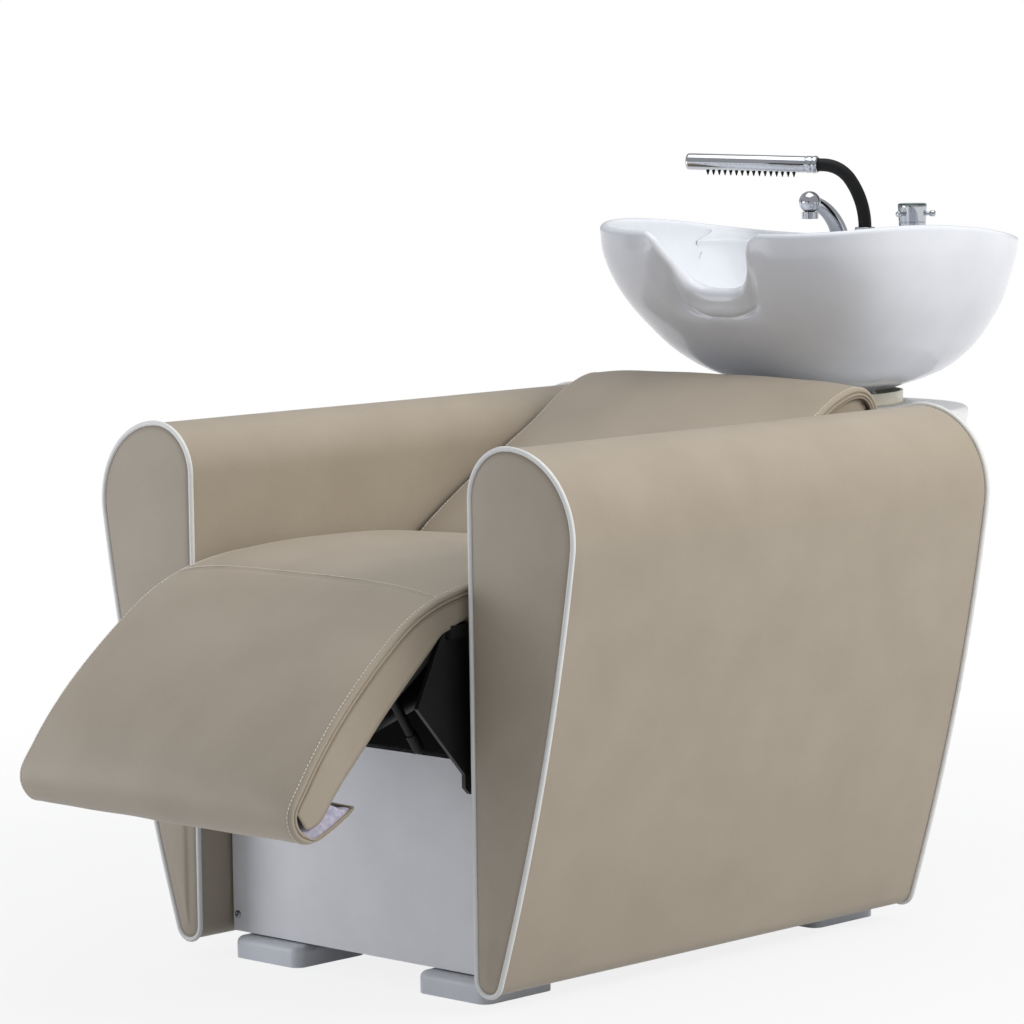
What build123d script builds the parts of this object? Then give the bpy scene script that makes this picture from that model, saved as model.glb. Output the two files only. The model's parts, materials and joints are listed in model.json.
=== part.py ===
import os
from math import atan2, cos, degrees, hypot, radians, sin, tan

from build123d import *

os.makedirs("parts", exist_ok=True)

# A hair washing bed: two padded arms, a seat with a hinged leg rest, a reclined back and a tilting bowl.
# Millimetres. The sitter faces -Y, Z is up, X = 0 is the middle, and the floor is Z = 0.

# Clearances and overruns
soft_gap = 0.3  # between a rounded or moving piece and what it lies against
running_gap = 0.05  # radial, pin in a bore
side_gap = 0.5  # between two flat pieces that swing past each other
cut_over = 6.0  # overrun of every cutter

# Arms: a drop-shaped section, wide and round above, narrow below
arm_length = 764.0
arm_inner = 243.0
arm_outer = 405.0
arm_top = 669.0
arm_widest_height = 551.0
arm_shoulder_radius = 62.0
arm_foot_radius = 20.0
arm_bottom = 22.0
arm_cover_thickness = 13.0
arm_core_thickness = 18.0
piping_radius = 3.3

# Leg rest, measured from its hinge along the pad (u) and square to it (w)
hinge_overhang_length = 30.0  # the hinge lies this far ahead of the arms
hinge_height = 466.0
leg_slope = 41.5  # degrees below level at rest
leg_lower_angle = 22.0
leg_raise_angle = 38.0
leg_length = 322.5
leg_crown_height = 52.0
leg_underside_depth = 11.2
leg_start_length = 4.0
leg_heel_length = 10.0  # the underside slopes off over this length beside the hinge
leg_heel_depth = 3.0
leg_nose_share = 0.42

# Seat and back cushions
seat_half_width = 228.0
back_half_width = 234.0
seat_bottom_height = 459.0
seat_top_height = 530.0
seat_back_gap = 2.5  # square to the face where the two cushions meet
back_angle = 27.6
back_length = 416.0
back_thickness = 55.0
back_setback = 360.0  # behind the arms' front, where the two cushions meet
back_start_height = 505.0
cushion_crown_height = 18.0
side_draw_depth = 3.0  # how far the cushions' sides are drawn in at mid length
cushion_end_gap = 6.0  # the back's sides are drawn in over this much more than its length
board_thickness = 15.0

# Bowl
bowl_setback = 674.0  # from the arms' front to the bowl's front
bowl_length = 504.0
bowl_width = 536.0
bowl_rim_height = 883.0
bowl_base_height = 674.0
bowl_wall_thickness = 14.0
bowl_floor_thickness = 18.0
basin_rear_length = 136.0
neck_low_half_width = 68.0
neck_high_half_width = 106.0
neck_bottom_height = 815.0
neck_corner_radius = 46.0
deck_height = 857.0

# Origin: the middle of the whole length
leg_cos, leg_sin = cos(radians(leg_slope)), sin(radians(leg_slope))
leg_reach = hinge_overhang_length + leg_length * leg_cos + leg_nose_share * leg_crown_height * leg_sin
front = leg_reach - (leg_reach + bowl_setback + bowl_length) / 2  # Y of the arms' front faces
rear = front + arm_length


def front_plane(y):
    """An upright plane across the bed, drawn in X and Z; a negative extrusion runs backwards."""
    return Plane(origin=(0, y, 0), x_dir=(1, 0, 0), z_dir=(0, -1, 0))


def side_plane(x):
    """An upright plane along the bed, drawn in Y and Z."""
    return Plane.YZ.offset(x)


def box_between(low, high, mode=Mode.ADD):
    """A box from its lowest to its highest corner."""
    middle = [(a + b) / 2 for a, b in zip(low, high)]
    with Locations(tuple(middle)):
        Box(high[0] - low[0], high[1] - low[1], high[2] - low[2], mode=mode)


def rod_between(start, end, radius, mode=Mode.ADD):
    """A round bar from one point to another."""
    line = Vector(*end) - Vector(*start)
    with BuildSketch(Plane(origin=start, z_dir=line)) as section:
        Circle(radius)
    extrude(section.sketch, amount=line.length, mode=mode)


def save(piece, name):
    """Label a finished piece and write it under its own name."""
    piece.part.label = name
    export_step(piece.part, f"parts/{name}.step")


def side_name(side):
    return "left" if side < 0 else "right"


# Arms

arm_crest = arm_inner + arm_shoulder_radius
shoulder_centre = (arm_crest, arm_top - arm_shoulder_radius)
crown_drop = arm_top - arm_widest_height
crown_reach = arm_outer - arm_crest
crown_radius = (crown_reach**2 + crown_drop**2) / (2 * crown_drop)
crown_centre = (arm_crest, arm_top - crown_radius)
crown_end = degrees(atan2(crown_radius - crown_drop, crown_reach))
foot_centre = (arm_inner + arm_foot_radius, arm_bottom + arm_foot_radius)

# The flank is one large arc that runs on smoothly from the crown into the foot
normal = (cos(radians(crown_end)), sin(radians(crown_end)))
gap_x, gap_z = crown_centre[0] - foot_centre[0], crown_centre[1] - foot_centre[1]
along = gap_x * normal[0] + gap_z * normal[1]
flank_radius = (
    (gap_x**2 + gap_z**2 + 2 * crown_radius * along + crown_radius**2 - arm_foot_radius**2)
    / (2 * (along + crown_radius - arm_foot_radius))
)
flank_centre = (
    crown_centre[0] + (crown_radius - flank_radius) * normal[0],
    crown_centre[1] + (crown_radius - flank_radius) * normal[1],
)
flank_end = degrees(atan2(foot_centre[1] - flank_centre[1], foot_centre[0] - flank_centre[0]))


def arm_outline(side, inset=0.0):
    """The drop-shaped outline of an arm, inset all round."""

    def arc(centre, radius, first, last):
        points = []
        for angle in (first, (first + last) / 2, last):
            reach = radius - inset
            x = centre[0] + reach * cos(radians(angle))
            z = centre[1] + reach * sin(radians(angle))
            points.append((side * x, z))
        return ThreePointArc(*points)

    shoulder = arc(shoulder_centre, arm_shoulder_radius, 180, 90)
    arc(crown_centre, crown_radius, 90, crown_end)
    arc(flank_centre, flank_radius, crown_end, flank_end)
    foot = arc(foot_centre, arm_foot_radius, flank_end, -180)
    Line(foot @ 1, shoulder @ 0)


def arm_face(side, inset=0.0, mode=Mode.ADD):
    """The arm's section as a face in the current sketch."""
    with BuildLine() as outline:
        arm_outline(side, inset)
    make_face(outline.edges(), mode=mode)


panel_thickness = 2 * piping_radius + soft_gap
panel_inset = piping_radius + soft_gap
panel_edge = 2.5
arm_body_length = arm_length - 2 * panel_thickness

# Control plate on the right arm's inner face, with an up and a down button
control_setback = 150.0
control_height = 575.0
control_length = 90.0
control_width = 34.0
control_thickness = 5.0
control_corner = 6.0
button_radius = 9.0
button_spacing = 42.0
button_stand = 2.5
button_travel = 1.5
button_floor_gap = 0.5


def make_arm(side):
    """One arm: core, padded cover, two end panels and the piping round both ends."""
    start = front + panel_thickness
    with BuildPart() as core:
        with BuildSketch(front_plane(start)):
            arm_face(side, arm_cover_thickness)
            offset(amount=-arm_core_thickness, kind=Kind.INTERSECTION, mode=Mode.SUBTRACT)
        extrude(amount=-arm_body_length)
    save(core, f"{side_name(side)}_arm_core")

    with BuildPart() as cover:
        with BuildSketch(front_plane(start)):
            arm_face(side)
            arm_face(side, arm_cover_thickness, Mode.SUBTRACT)
        extrude(amount=-arm_body_length)
    save(cover, f"{side_name(side)}_arm_cover")

    for word, y, outer_face in (("front", front, Axis.Y), ("rear", rear - panel_thickness, Axis.Y)):
        with BuildPart() as panel:
            with BuildSketch(front_plane(y)):
                arm_face(side, panel_inset)
            extrude(amount=-panel_thickness)
            ends = faces().sort_by(outer_face)
            outside = ends[0] if word == "front" else ends[-1]
            fillet(outside.edges(), panel_edge)
        save(panel, f"{side_name(side)}_arm_{word}_panel")

    with BuildPart() as piping:
        for y in (front + piping_radius, rear - piping_radius):
            with BuildLine(front_plane(y)) as ring:
                arm_outline(side)
            with BuildSketch(Plane(origin=ring.wire() @ 0, z_dir=ring.wire() % 0)):
                Circle(piping_radius)
            sweep()
    save(piping, f"{side_name(side)}_arm_piping")


make_arm(-1)
make_arm(1)

control_y = front + control_setback
with BuildPart() as control_plate:
    plate_plane = Plane(origin=(arm_inner, control_y, control_height), x_dir=(0, 1, 0), z_dir=(-1, 0, 0))
    with BuildSketch(plate_plane):
        RectangleRounded(control_length, control_width, control_corner)
        with GridLocations(button_spacing, 0, 2, 1):
            Circle(button_radius + running_gap, mode=Mode.SUBTRACT)
    extrude(amount=control_thickness)
save(control_plate, "control_plate")

for name, shift in (("raise_button", -button_spacing / 2), ("lower_button", button_spacing / 2)):
    with BuildPart() as button:
        button_foot = arm_inner - button_travel - button_floor_gap
        button_face = arm_inner - control_thickness - button_stand
        rod_between(
            (button_foot, control_y + shift, control_height),
            (button_face, control_y + shift, control_height),
            button_radius,
        )
        fillet(faces().sort_by(Axis.X)[0].edges(), button_stand / 2)
    save(button, name)

# Base: feet, rails, front cross rail, side boards, rear board

foot_height = 27.0
foot_width = 118.0
foot_length = 120.0
foot_outer = 222.0
foot_front_setback = 38.0
foot_rear_inset = 4.0  # ahead of the arms' rear ends
foot_corner = 14.0
foot_edge = 9.0
rail_width = 60.0
rail_height = 25.0
rail_middle = 160.0
rail_wall = 3.0
base_setback = 59.5  # from the arms' front to the boards' front edges
base_rear_inset = 16.0
side_board_thickness = 22.0
side_board_bottom = 45.0
cross_rail_size = 40.0
cross_rail_setback = 70.0
rear_board_thickness = 18.0
rear_board_drop = 18.0  # below the sloping back board

side_board_inner = arm_inner - side_board_thickness
base_front = front + base_setback
base_rear = rear - base_rear_inset
rail_top = foot_height + rail_height

foot_fronts = {"front": front + foot_front_setback, "rear": rear - foot_rear_inset - foot_length}
for word, y in foot_fronts.items():
    for side in (-1, 1):
        with BuildPart() as foot:
            with BuildSketch():
                with Locations((side * (foot_outer - foot_width / 2), y + foot_length / 2)):
                    RectangleRounded(foot_width, foot_length, foot_corner)
            extrude(amount=foot_height)
            fillet(faces().sort_by(Axis.Z)[-1].edges(), foot_edge)
        save(foot, f"{side_name(side)}_{word}_foot")

for side in (-1, 1):
    with BuildPart() as rail:
        with BuildSketch(front_plane(base_front)):
            with Locations((side * rail_middle, foot_height + rail_height / 2)):
                Rectangle(rail_width, rail_height)
                Rectangle(rail_width - 2 * rail_wall, rail_height - 2 * rail_wall, mode=Mode.SUBTRACT)
        extrude(amount=-(base_rear - base_front))
    save(rail, f"{side_name(side)}_rail")

with BuildPart() as front_cross_rail:
    with BuildSketch(side_plane(-side_board_inner)):
        with Locations((front + cross_rail_setback + cross_rail_size / 2, rail_top + cross_rail_size / 2)):
            Rectangle(cross_rail_size, cross_rail_size)
            Rectangle(cross_rail_size - 2 * rail_wall, cross_rail_size - 2 * rail_wall, mode=Mode.SUBTRACT)
    extrude(amount=2 * side_board_inner)
save(front_cross_rail, "front_cross_rail")

# The back board lies under the back cushion; the side boards' upper edges follow it
back_cos, back_sin = cos(radians(back_angle)), sin(radians(back_angle))
back_y = front + back_setback


def back_at(along_back, height):
    """A point in Y and Z, from its place along the back and its height over the cushion's underside."""
    depth = height - back_thickness
    return (
        back_y + along_back * back_cos - depth * back_sin,
        back_start_height + along_back * back_sin + depth * back_cos,
    )


board_low = back_at(0, -board_thickness)
shelf = seat_bottom_height - board_thickness
knee = board_low[0] + (shelf - board_low[1]) / tan(radians(back_angle))
slope_end = board_low[1] + (base_rear - board_low[0]) * tan(radians(back_angle))

screw_inset = 8.0
screw_height = 50.0
screw_head_radius = 5.0
screw_head_height = 2.6
screw_radius = 2.0
screw_length = 16.0
panel_sheet = 2.5
panel_top = 286.0
panel_bottom_gap = 2.0
panel_side_gap = 3.0
panel_flange = 18.0
panel_half_width = arm_inner - panel_side_gap
screw_x = panel_half_width - screw_inset

for side in (-1, 1):
    with BuildPart() as side_board:
        inner_face = side_board_inner if side > 0 else -arm_inner
        with BuildSketch(side_plane(inner_face)):
            with BuildLine():
                Polyline(
                    (base_front, side_board_bottom),
                    (base_rear, side_board_bottom),
                    (base_rear, slope_end),
                    (knee, shelf),
                    (base_front, shelf),
                    close=True,
                )
            make_face()
        extrude(amount=side_board_thickness)
        hole_start = (side * screw_x, base_front - cut_over, screw_height)
        hole_end = (side * screw_x, base_front - panel_sheet + screw_length, screw_height)
        rod_between(hole_start, hole_end, screw_radius, Mode.SUBTRACT)
    save(side_board, f"{side_name(side)}_side_board")

rear_board_front = base_rear - rear_board_thickness
rear_board_top = slope_end - rear_board_thickness * tan(radians(back_angle)) - rear_board_drop
with BuildPart() as rear_board:
    box_between(
        (-side_board_inner, rear_board_front, rail_top),
        (side_board_inner, base_rear, rear_board_top),
    )
save(rear_board, "rear_board")

# White sheet panel between the arms, folded back along its top
panel_face = base_front - panel_sheet
panel_bottom = foot_height + panel_bottom_gap
with BuildPart() as front_panel:
    box_between((-panel_half_width, panel_face, panel_bottom), (panel_half_width, base_front, panel_top))
    flange_half = side_board_inner - side_gap
    box_between(
        (-flange_half, panel_face, panel_top - panel_sheet),
        (flange_half, base_front + panel_flange, panel_top),
    )
    for side in (-1, 1):
        hole_start = (side * screw_x, panel_face - cut_over, screw_height)
        hole_end = (side * screw_x, base_front + cut_over, screw_height)
        rod_between(hole_start, hole_end, screw_radius, Mode.SUBTRACT)
save(front_panel, "front_panel")

with BuildPart() as panel_screws:
    for side in (-1, 1):
        head = (side * screw_x, panel_face - screw_head_height, screw_height)
        rod_between(head, (side * screw_x, panel_face, screw_height), screw_head_radius)
        tip = (side * screw_x, panel_face + screw_length, screw_height)
        rod_between((side * screw_x, panel_face, screw_height), tip, screw_radius)
    fillet(edges().group_by(Axis.Y)[0], screw_head_height / 3)
    socket_radius = screw_head_radius / 2.4
    for side in (-1, 1):
        with BuildSketch(front_plane(panel_face - screw_head_height)):
            with Locations((side * screw_x, screw_height)):
                RegularPolygon(socket_radius, 6)
        extrude(amount=-screw_head_height / 2, mode=Mode.SUBTRACT)
save(panel_screws, "panel_screws")

# Seat: board and crowned cushion

hinge_y = front - hinge_overhang_length
seat_hinge_gap = 5.0
seat_rear_share = 0.77  # of the seat cushion's height, where its rear corner lies
seat_front = hinge_y + seat_hinge_gap
recess_inner = 201.0
recess_reach = 16.0

# Stations across a cushion, as shares of its half width, and how much of the crown is lost there
crown_shares = [(-1.0, 1.0), (-0.94, 0.45), (-0.62, 0.14), (0.0, 0.0), (0.62, 0.14), (0.94, 0.45), (1.0, 1.0)]


def loft_pad(outline, half_width):
    """Loft a cushion across X; its top falls by the crown towards both side seams."""
    sections = []
    for place_share, drop_share in crown_shares:
        with BuildSketch(side_plane(place_share * half_width)) as section:
            with BuildLine():
                outline(drop_share * cushion_crown_height)
            make_face()
        sections.append(section.sketch)
    loft(sections)


def draw_in_sides(plane, start, end, half_width, height):
    """Pull both sides of a cushion in along a shallow arc between its corners."""
    for side in (-1, 1):
        with BuildSketch(plane) as hollow:
            with BuildLine():
                far = side * (half_width + cut_over)
                low, high = (side * half_width, start), (side * half_width, end)
                ThreePointArc(low, (side * (half_width - side_draw_depth), (start + end) / 2), high)
                Polyline(high, (far, end), (far, start), low)
            make_face()
        extrude(hollow.sketch, amount=height, both=True, mode=Mode.SUBTRACT)


def cut_hinge_recess():
    """Clear both front corners of the seat for the hinge eyes."""
    for side in (-1, 1):
        near, far = side * recess_inner, side * (seat_half_width + cut_over)
        box_between(
            (min(near, far), hinge_y - recess_reach, hinge_height - 3 * recess_reach),
            (max(near, far), hinge_y + recess_reach, hinge_height + recess_reach),
            Mode.SUBTRACT,
        )


seat_rise = seat_top_height - seat_bottom_height


def back_face_at(height):
    """Y of the seat's rear face at a height: one gap ahead of the back cushion's front face."""
    foot_y, foot_z = back_at(0, 0)
    return foot_y - (height - foot_z) * tan(radians(back_angle)) - seat_back_gap / back_cos


seat_depth = back_face_at(seat_bottom_height) - seat_front


def seat_outline(drop):
    def at(depth_share, rise_share, fall=0.0):
        return (seat_front + depth_share * seat_depth, seat_bottom_height + rise_share * seat_rise - fall)

    rear_height = seat_bottom_height + seat_rear_share * seat_rise - drop
    rear_corner = (back_face_at(rear_height), rear_height)
    Line(at(0, 0), at(1, 0))
    Line(at(1, 0), rear_corner)
    ThreePointArc(rear_corner, at(0.47, 1, drop), at(0.04, 0.8, drop))
    ThreePointArc(at(0.04, 0.8, drop), at(0.012, 0.72, drop), at(0, 0.5, drop))
    Line(at(0, 0.5, drop), at(0, 0))


with BuildPart() as seat_cushion:
    loft_pad(seat_outline, seat_half_width)
    seat_plane = Plane.XY.offset(seat_bottom_height)
    draw_in_sides(seat_plane, seat_front, seat_front + seat_depth, seat_half_width, seat_rise * 2)
    cut_hinge_recess()
save(seat_cushion, "seat_cushion")

seat_board_inset = 2.0
seat_board_end = back_at(0, 0)[0] - board_thickness / 8
with BuildPart() as seat_board:
    box_between(
        (-seat_half_width + seat_board_inset, seat_front, shelf),
        (seat_half_width - seat_board_inset, seat_board_end, seat_bottom_height),
    )
    cut_hinge_recess()
save(seat_board, "seat_board")

# Back: board and crowned cushion with a rounded upper end

back_board_start = 8.0
back_board_end = 392.0
with BuildPart() as back_board:
    with BuildSketch(side_plane(-seat_half_width)):
        with BuildLine():
            Polyline(
                back_at(back_board_start, -board_thickness),
                back_at(back_board_end, -board_thickness),
                back_at(back_board_end, 0),
                back_at(back_board_start, 0),
                close=True,
            )
        make_face()
    extrude(amount=2 * seat_half_width)
save(back_board, "back_board")


def back_outline(drop):
    def at(length_share, height_share, fall=0.0):
        return back_at(length_share * back_length, height_share * back_thickness - fall)

    Line(at(0, 0), at(0.96, 0))
    ThreePointArc(at(0.96, 0), at(0.971, 0.08), at(0.975, 0.2))
    Line(at(0.975, 0.2), at(1, 0.8, drop))
    ThreePointArc(at(1, 0.8, drop), at(0.985, 1.07, drop), at(0.94, 1.2, drop))
    ThreePointArc(at(0.94, 1.2, drop), at(0.5, 1.26, drop), at(0.03, 1.04, drop))
    ThreePointArc(at(0.03, 1.04, drop), at(0.008, 0.98, drop), at(0, 0.86, drop))
    Line(at(0, 0.86, drop), at(0, 0))


back_plane = Plane(
    origin=(0, *back_at(0, 0)),
    x_dir=(1, 0, 0),
    z_dir=(0, -back_sin, back_cos),
)
with BuildPart() as back_cushion:
    loft_pad(back_outline, back_half_width)
    draw_in_sides(back_plane, -cushion_end_gap, back_length + cushion_end_gap, back_half_width, back_thickness * 2)
save(back_cushion, "back_cushion")

# Leg rest


def leg_at(u, w):
    """A point in Y and Z at rest, from its place along the pad and its height over the hinge line."""
    return (hinge_y - u * leg_cos - w * leg_sin, hinge_height - u * leg_sin + w * leg_cos)


def leg_outline(drop):
    def at(length_share, crown_share, fall=0.0):
        return leg_at(length_share * leg_length, crown_share * leg_crown_height - fall)

    under = -leg_underside_depth / leg_crown_height
    begin = leg_start_length / leg_length
    heel = leg_heel_depth / leg_crown_height
    heel_end = (leg_start_length + leg_heel_length) / leg_length
    Line(at(heel_end, under), at(begin, -heel))
    Line(at(begin, -heel), at(begin, 0.6, drop))
    ThreePointArc(at(begin, 0.6, drop), at(0.02, 0.78, drop), at(0.045, 0.86, drop))
    ThreePointArc(at(0.045, 0.86, drop), at(0.34, 1.06, drop), at(0.7, 0.94, drop))
    ThreePointArc(at(0.7, 0.94, drop), at(0.88, 0.76, drop), at(1, leg_nose_share))
    ThreePointArc(at(1, leg_nose_share), at(1.006, 0.04), at(0.985, -0.34))
    Line(at(0.985, -0.34), at(0.826, -0.87))
    ThreePointArc(at(0.826, -0.87), at(0.775, -0.88), at(0.78, -0.62))
    Line(at(0.78, -0.62), at(0.88, -0.43))
    ThreePointArc(at(0.88, -0.43), at(0.9, -0.29), at(0.875, under))
    Line(at(0.875, under), at(heel_end, under))


def leg_box(x_half, u_range, w_range, x_from=0.0, mode=Mode.ADD):
    """A block square to the leg rest, on both sides of the middle or right across it."""
    corners = [leg_at(u, w) for u, w in zip((u_range[0], u_range[1], u_range[1], u_range[0]), (
        w_range[0], w_range[0], w_range[1], w_range[1]))]
    spans = [(-x_half, x_half)] if x_from == 0 else [(-x_half, -x_from), (x_from, x_half)]
    for low, high in spans:
        with BuildSketch(side_plane(low)) as section:
            with BuildLine():
                Polyline(*corners, close=True)
            make_face()
        extrude(section.sketch, amount=high - low, mode=mode)


leg_board_inset = 14.0
leg_board_start = 14.0
leg_board_end_share = 0.74
leg_board_thickness = 12.0
leg_board_half = seat_half_width - leg_board_inset
leg_board_u = (leg_board_start, leg_board_end_share * leg_length)
leg_board_w = (-leg_underside_depth, leg_board_thickness - leg_underside_depth)
recess_u = (-recess_reach, recess_reach)
recess_w = (-3 * recess_reach, recess_reach)

leg_plane = Plane(origin=(0, *leg_at(0, 0)), x_dir=(1, 0, 0), z_dir=(0, -leg_sin, leg_cos))
with BuildPart() as legrest_cushion:
    loft_pad(leg_outline, seat_half_width)
    draw_in_sides(leg_plane, -leg_length * 1.1, 0, seat_half_width, leg_crown_height * 2)
    leg_box(leg_board_half, leg_board_u, (leg_board_w[0] - cut_over, leg_board_w[1]), mode=Mode.SUBTRACT)
    leg_box(seat_half_width + cut_over, recess_u, recess_w, recess_inner, Mode.SUBTRACT)
save(legrest_cushion, "legrest_cushion")

with BuildPart() as legrest_board:
    leg_box(leg_board_half, leg_board_u, leg_board_w)
    leg_box(seat_half_width + cut_over, recess_u, recess_w, recess_inner, Mode.SUBTRACT)
save(legrest_board, "legrest_board")

# Hinges: black plates on the side boards, pins, and the leg rest's welded frame

hinge_eye_radius = 12.0
hinge_pin_radius = 6.0
hinge_head_radius = 9.0
hinge_head_height = 3.0
hinge_plate_thickness = 6.0
frame_arm_thickness = 11.5
frame_depth = 20.0
frame_start = 26.0
frame_bar_width = 18.0
plate_clearance = 1.5
plate_depth = 200.0  # how far the plate runs back from the arms' front
plate_nose_run = 105.0  # its front edge's length under the lowered leg rest
plate_tail_low = 256.0
plate_tail_high = 280.0
plate_tail_front = 11.0
plate_tail_rear_gap = 5.0
plate_tail_chamfer = 8.0

hinge_plate_outer = side_board_inner
hinge_plate_inner = hinge_plate_outer - hinge_plate_thickness
frame_arm_outer = hinge_plate_inner - side_gap
frame_arm_inner = frame_arm_outer - frame_arm_thickness

lowered = radians(leg_slope + leg_lower_angle)


def lowered_at(u, w):
    """The same as leg_at, with the leg rest at its lowest."""
    return (hinge_y - u * cos(lowered) - w * sin(lowered), hinge_height - u * sin(lowered) + w * cos(lowered))


def hinge_plate_outline():
    clear = -leg_underside_depth - plate_clearance
    nose = lowered_at(plate_nose_run, clear)
    Polyline(
        lowered_at(hinge_eye_radius, clear),
        nose,
        (front + plate_tail_front, plate_tail_high),
        (front + plate_tail_front, plate_tail_low + plate_tail_chamfer),
        (front + plate_tail_front + plate_tail_chamfer, plate_tail_low),
        (panel_face - plate_tail_rear_gap, plate_tail_low),
        (panel_face - plate_tail_rear_gap, panel_top + plate_tail_rear_gap),
        (front + plate_depth, panel_top + plate_tail_rear_gap),
        (front + plate_depth, shelf - side_gap),
        (hinge_y + hinge_eye_radius, shelf - side_gap),
        (hinge_y + hinge_eye_radius, hinge_height),
        (hinge_y, hinge_height),
        close=True,
    )


for side in (-1, 1):
    with BuildPart() as hinge_plate:
        low_face = hinge_plate_inner if side > 0 else -hinge_plate_outer
        with BuildSketch(side_plane(low_face)):
            with BuildLine():
                hinge_plate_outline()
            make_face()
            with Locations((hinge_y, hinge_height)):
                Circle(hinge_eye_radius)
                Circle(hinge_pin_radius, mode=Mode.SUBTRACT)
        extrude(amount=hinge_plate_thickness)
    save(hinge_plate, f"{side_name(side)}_hinge_plate")

with BuildPart() as hinge_pins:
    for side in (-1, 1):
        at_hinge = (hinge_y, hinge_height)
        rod_between(
            (side * (frame_arm_inner - side_gap), *at_hinge),
            (side * hinge_plate_outer, *at_hinge),
            hinge_pin_radius,
        )
        rod_between(
            (side * hinge_plate_outer, *at_hinge),
            (side * (hinge_plate_outer + hinge_head_height), *at_hinge),
            hinge_head_radius,
        )
save(hinge_pins, "hinge_pins")

# The actuator's two pins lie equally far from the hinge, so its line turns half as far as the leg rest
actuator_pin_u = 228.0
actuator_pin_drop = 51.0
actuator_rear_angle = 105.0  # between the two pins, seen from the hinge, at rest
actuator_pin_radius = 6.0
actuator_eye_radius = 11.0
rod_eye_width = 24.0
clevis_thickness = 6.0
body_eye_width = 30.0
rod_radius = 10.0
rod_length = 230.0
tube_radius = 18.0
tube_start = 62.0
tube_end_clearance = 24.0
gearbox_start = 13.0
gearbox_half = 21.0
motor_radius = 23.0
motor_offset = 46.0
motor_length = 118.0
beam_size = 30.0
beam_setback = 24.0
link_radius = hypot(actuator_pin_u, actuator_pin_drop)
pin_direction = leg_slope + degrees(atan2(actuator_pin_drop, actuator_pin_u))
rear_direction = radians(pin_direction + actuator_rear_angle)
rear_pin = (hinge_y - link_radius * cos(rear_direction), hinge_height - link_radius * sin(rear_direction))
front_pin = leg_at(actuator_pin_u, -actuator_pin_drop)
closed_length = 2 * link_radius * sin(radians(actuator_rear_angle - leg_lower_angle) / 2)
pin_line = (front_pin[0] - rear_pin[0], front_pin[1] - rear_pin[1])
pin_distance = hypot(*pin_line)
line_y, line_z = pin_line[0] / pin_distance, pin_line[1] / pin_distance


def actuator_at(distance, x=0.0, across=0.0):
    """A point along the actuator from its rear pin, with an offset across it."""
    y = rear_pin[0] + distance * line_y + across * line_z
    z = rear_pin[1] + distance * line_z - across * line_y
    return (x, y, z)


with BuildPart() as legrest_frame:
    eye = (hinge_y, hinge_height)
    for side in (-1, 1):
        low_face = frame_arm_inner if side > 0 else -frame_arm_outer
        with BuildSketch(side_plane(low_face)):
            with Locations(eye):
                Circle(hinge_eye_radius)
            with BuildLine():
                deep = -leg_underside_depth - frame_depth
                Polyline(
                    leg_at(0, 0),
                    leg_at(0, -leg_underside_depth),
                    leg_at(frame_start, deep),
                    leg_at(actuator_pin_u, deep),
                    leg_at(actuator_pin_u, -leg_underside_depth),
                    leg_at(hinge_eye_radius, -leg_underside_depth),
                    leg_at(hinge_eye_radius, 0),
                    close=True,
                )
            make_face()
            with Locations(eye):
                Circle(hinge_pin_radius + running_gap, mode=Mode.SUBTRACT)
        extrude(amount=frame_arm_thickness)
    bar_u = (actuator_pin_u - frame_bar_width, actuator_pin_u)
    leg_box(frame_arm_outer, bar_u, (-leg_underside_depth - frame_depth, -leg_underside_depth))
    for side in (-1, 1):
        near = side * (rod_eye_width / 2 + side_gap)
        far = side * (rod_eye_width / 2 + side_gap + clevis_thickness)
        with BuildSketch(side_plane(min(near, far))):
            with BuildLine():
                reach = actuator_eye_radius
                Polyline(
                    leg_at(actuator_pin_u - frame_bar_width, -leg_underside_depth),
                    leg_at(actuator_pin_u + reach, -leg_underside_depth),
                    leg_at(actuator_pin_u + reach, -actuator_pin_drop),
                    leg_at(actuator_pin_u - reach, -actuator_pin_drop),
                    leg_at(actuator_pin_u - frame_bar_width, -leg_underside_depth - frame_depth),
                    close=True,
                )
            make_face()
            with Locations(front_pin):
                Circle(reach)
                Circle(actuator_pin_radius, mode=Mode.SUBTRACT)
        extrude(amount=clevis_thickness)
save(legrest_frame, "legrest_frame")

# Two dark bumper rods stand square under the leg rest
bumper_x = 110.0
bumper_u = 34.0
bumper_tip_u = 57.0
bumper_length = 164.0
bumper_radius = 6.0
bumper_cap_radius = 7.5
bumper_cap_length = 22.0
bumper_flange_radius = 16.0
bumper_flange_height = 4.0
with BuildPart() as bumper_rods:
    for side in (-1, 1):
        foot_point = (side * bumper_x, *leg_at(bumper_u, -leg_underside_depth))
        tip = (side * bumper_x, *leg_at(bumper_tip_u, -leg_underside_depth - bumper_length))
        direction = (Vector(*tip) - Vector(*foot_point)).normalized()
        cap = Vector(*tip) - direction * bumper_cap_length
        low = (side * bumper_x, *leg_at(bumper_u, -leg_underside_depth - bumper_flange_height))
        rod_between(foot_point, low, bumper_flange_radius)
        rod_between(low, tuple(cap), bumper_radius)
        rod_between(tuple(cap), tip, bumper_cap_radius)
        with Locations(tip):
            Sphere(bumper_cap_radius)
save(bumper_rods, "bumper_rods")

with BuildPart() as actuator_front_pin:
    reach = rod_eye_width / 2 + side_gap + clevis_thickness
    rod_between((-reach, *front_pin), (reach, *front_pin), actuator_pin_radius)
save(actuator_front_pin, "actuator_front_pin")

body_reach = body_eye_width / 2
beam_reach = body_reach + side_gap + clevis_thickness
with BuildPart() as actuator_rear_pin:
    rod_between((-beam_reach, *rear_pin), (beam_reach, *rear_pin), actuator_pin_radius)
save(actuator_rear_pin, "actuator_rear_pin")

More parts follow.
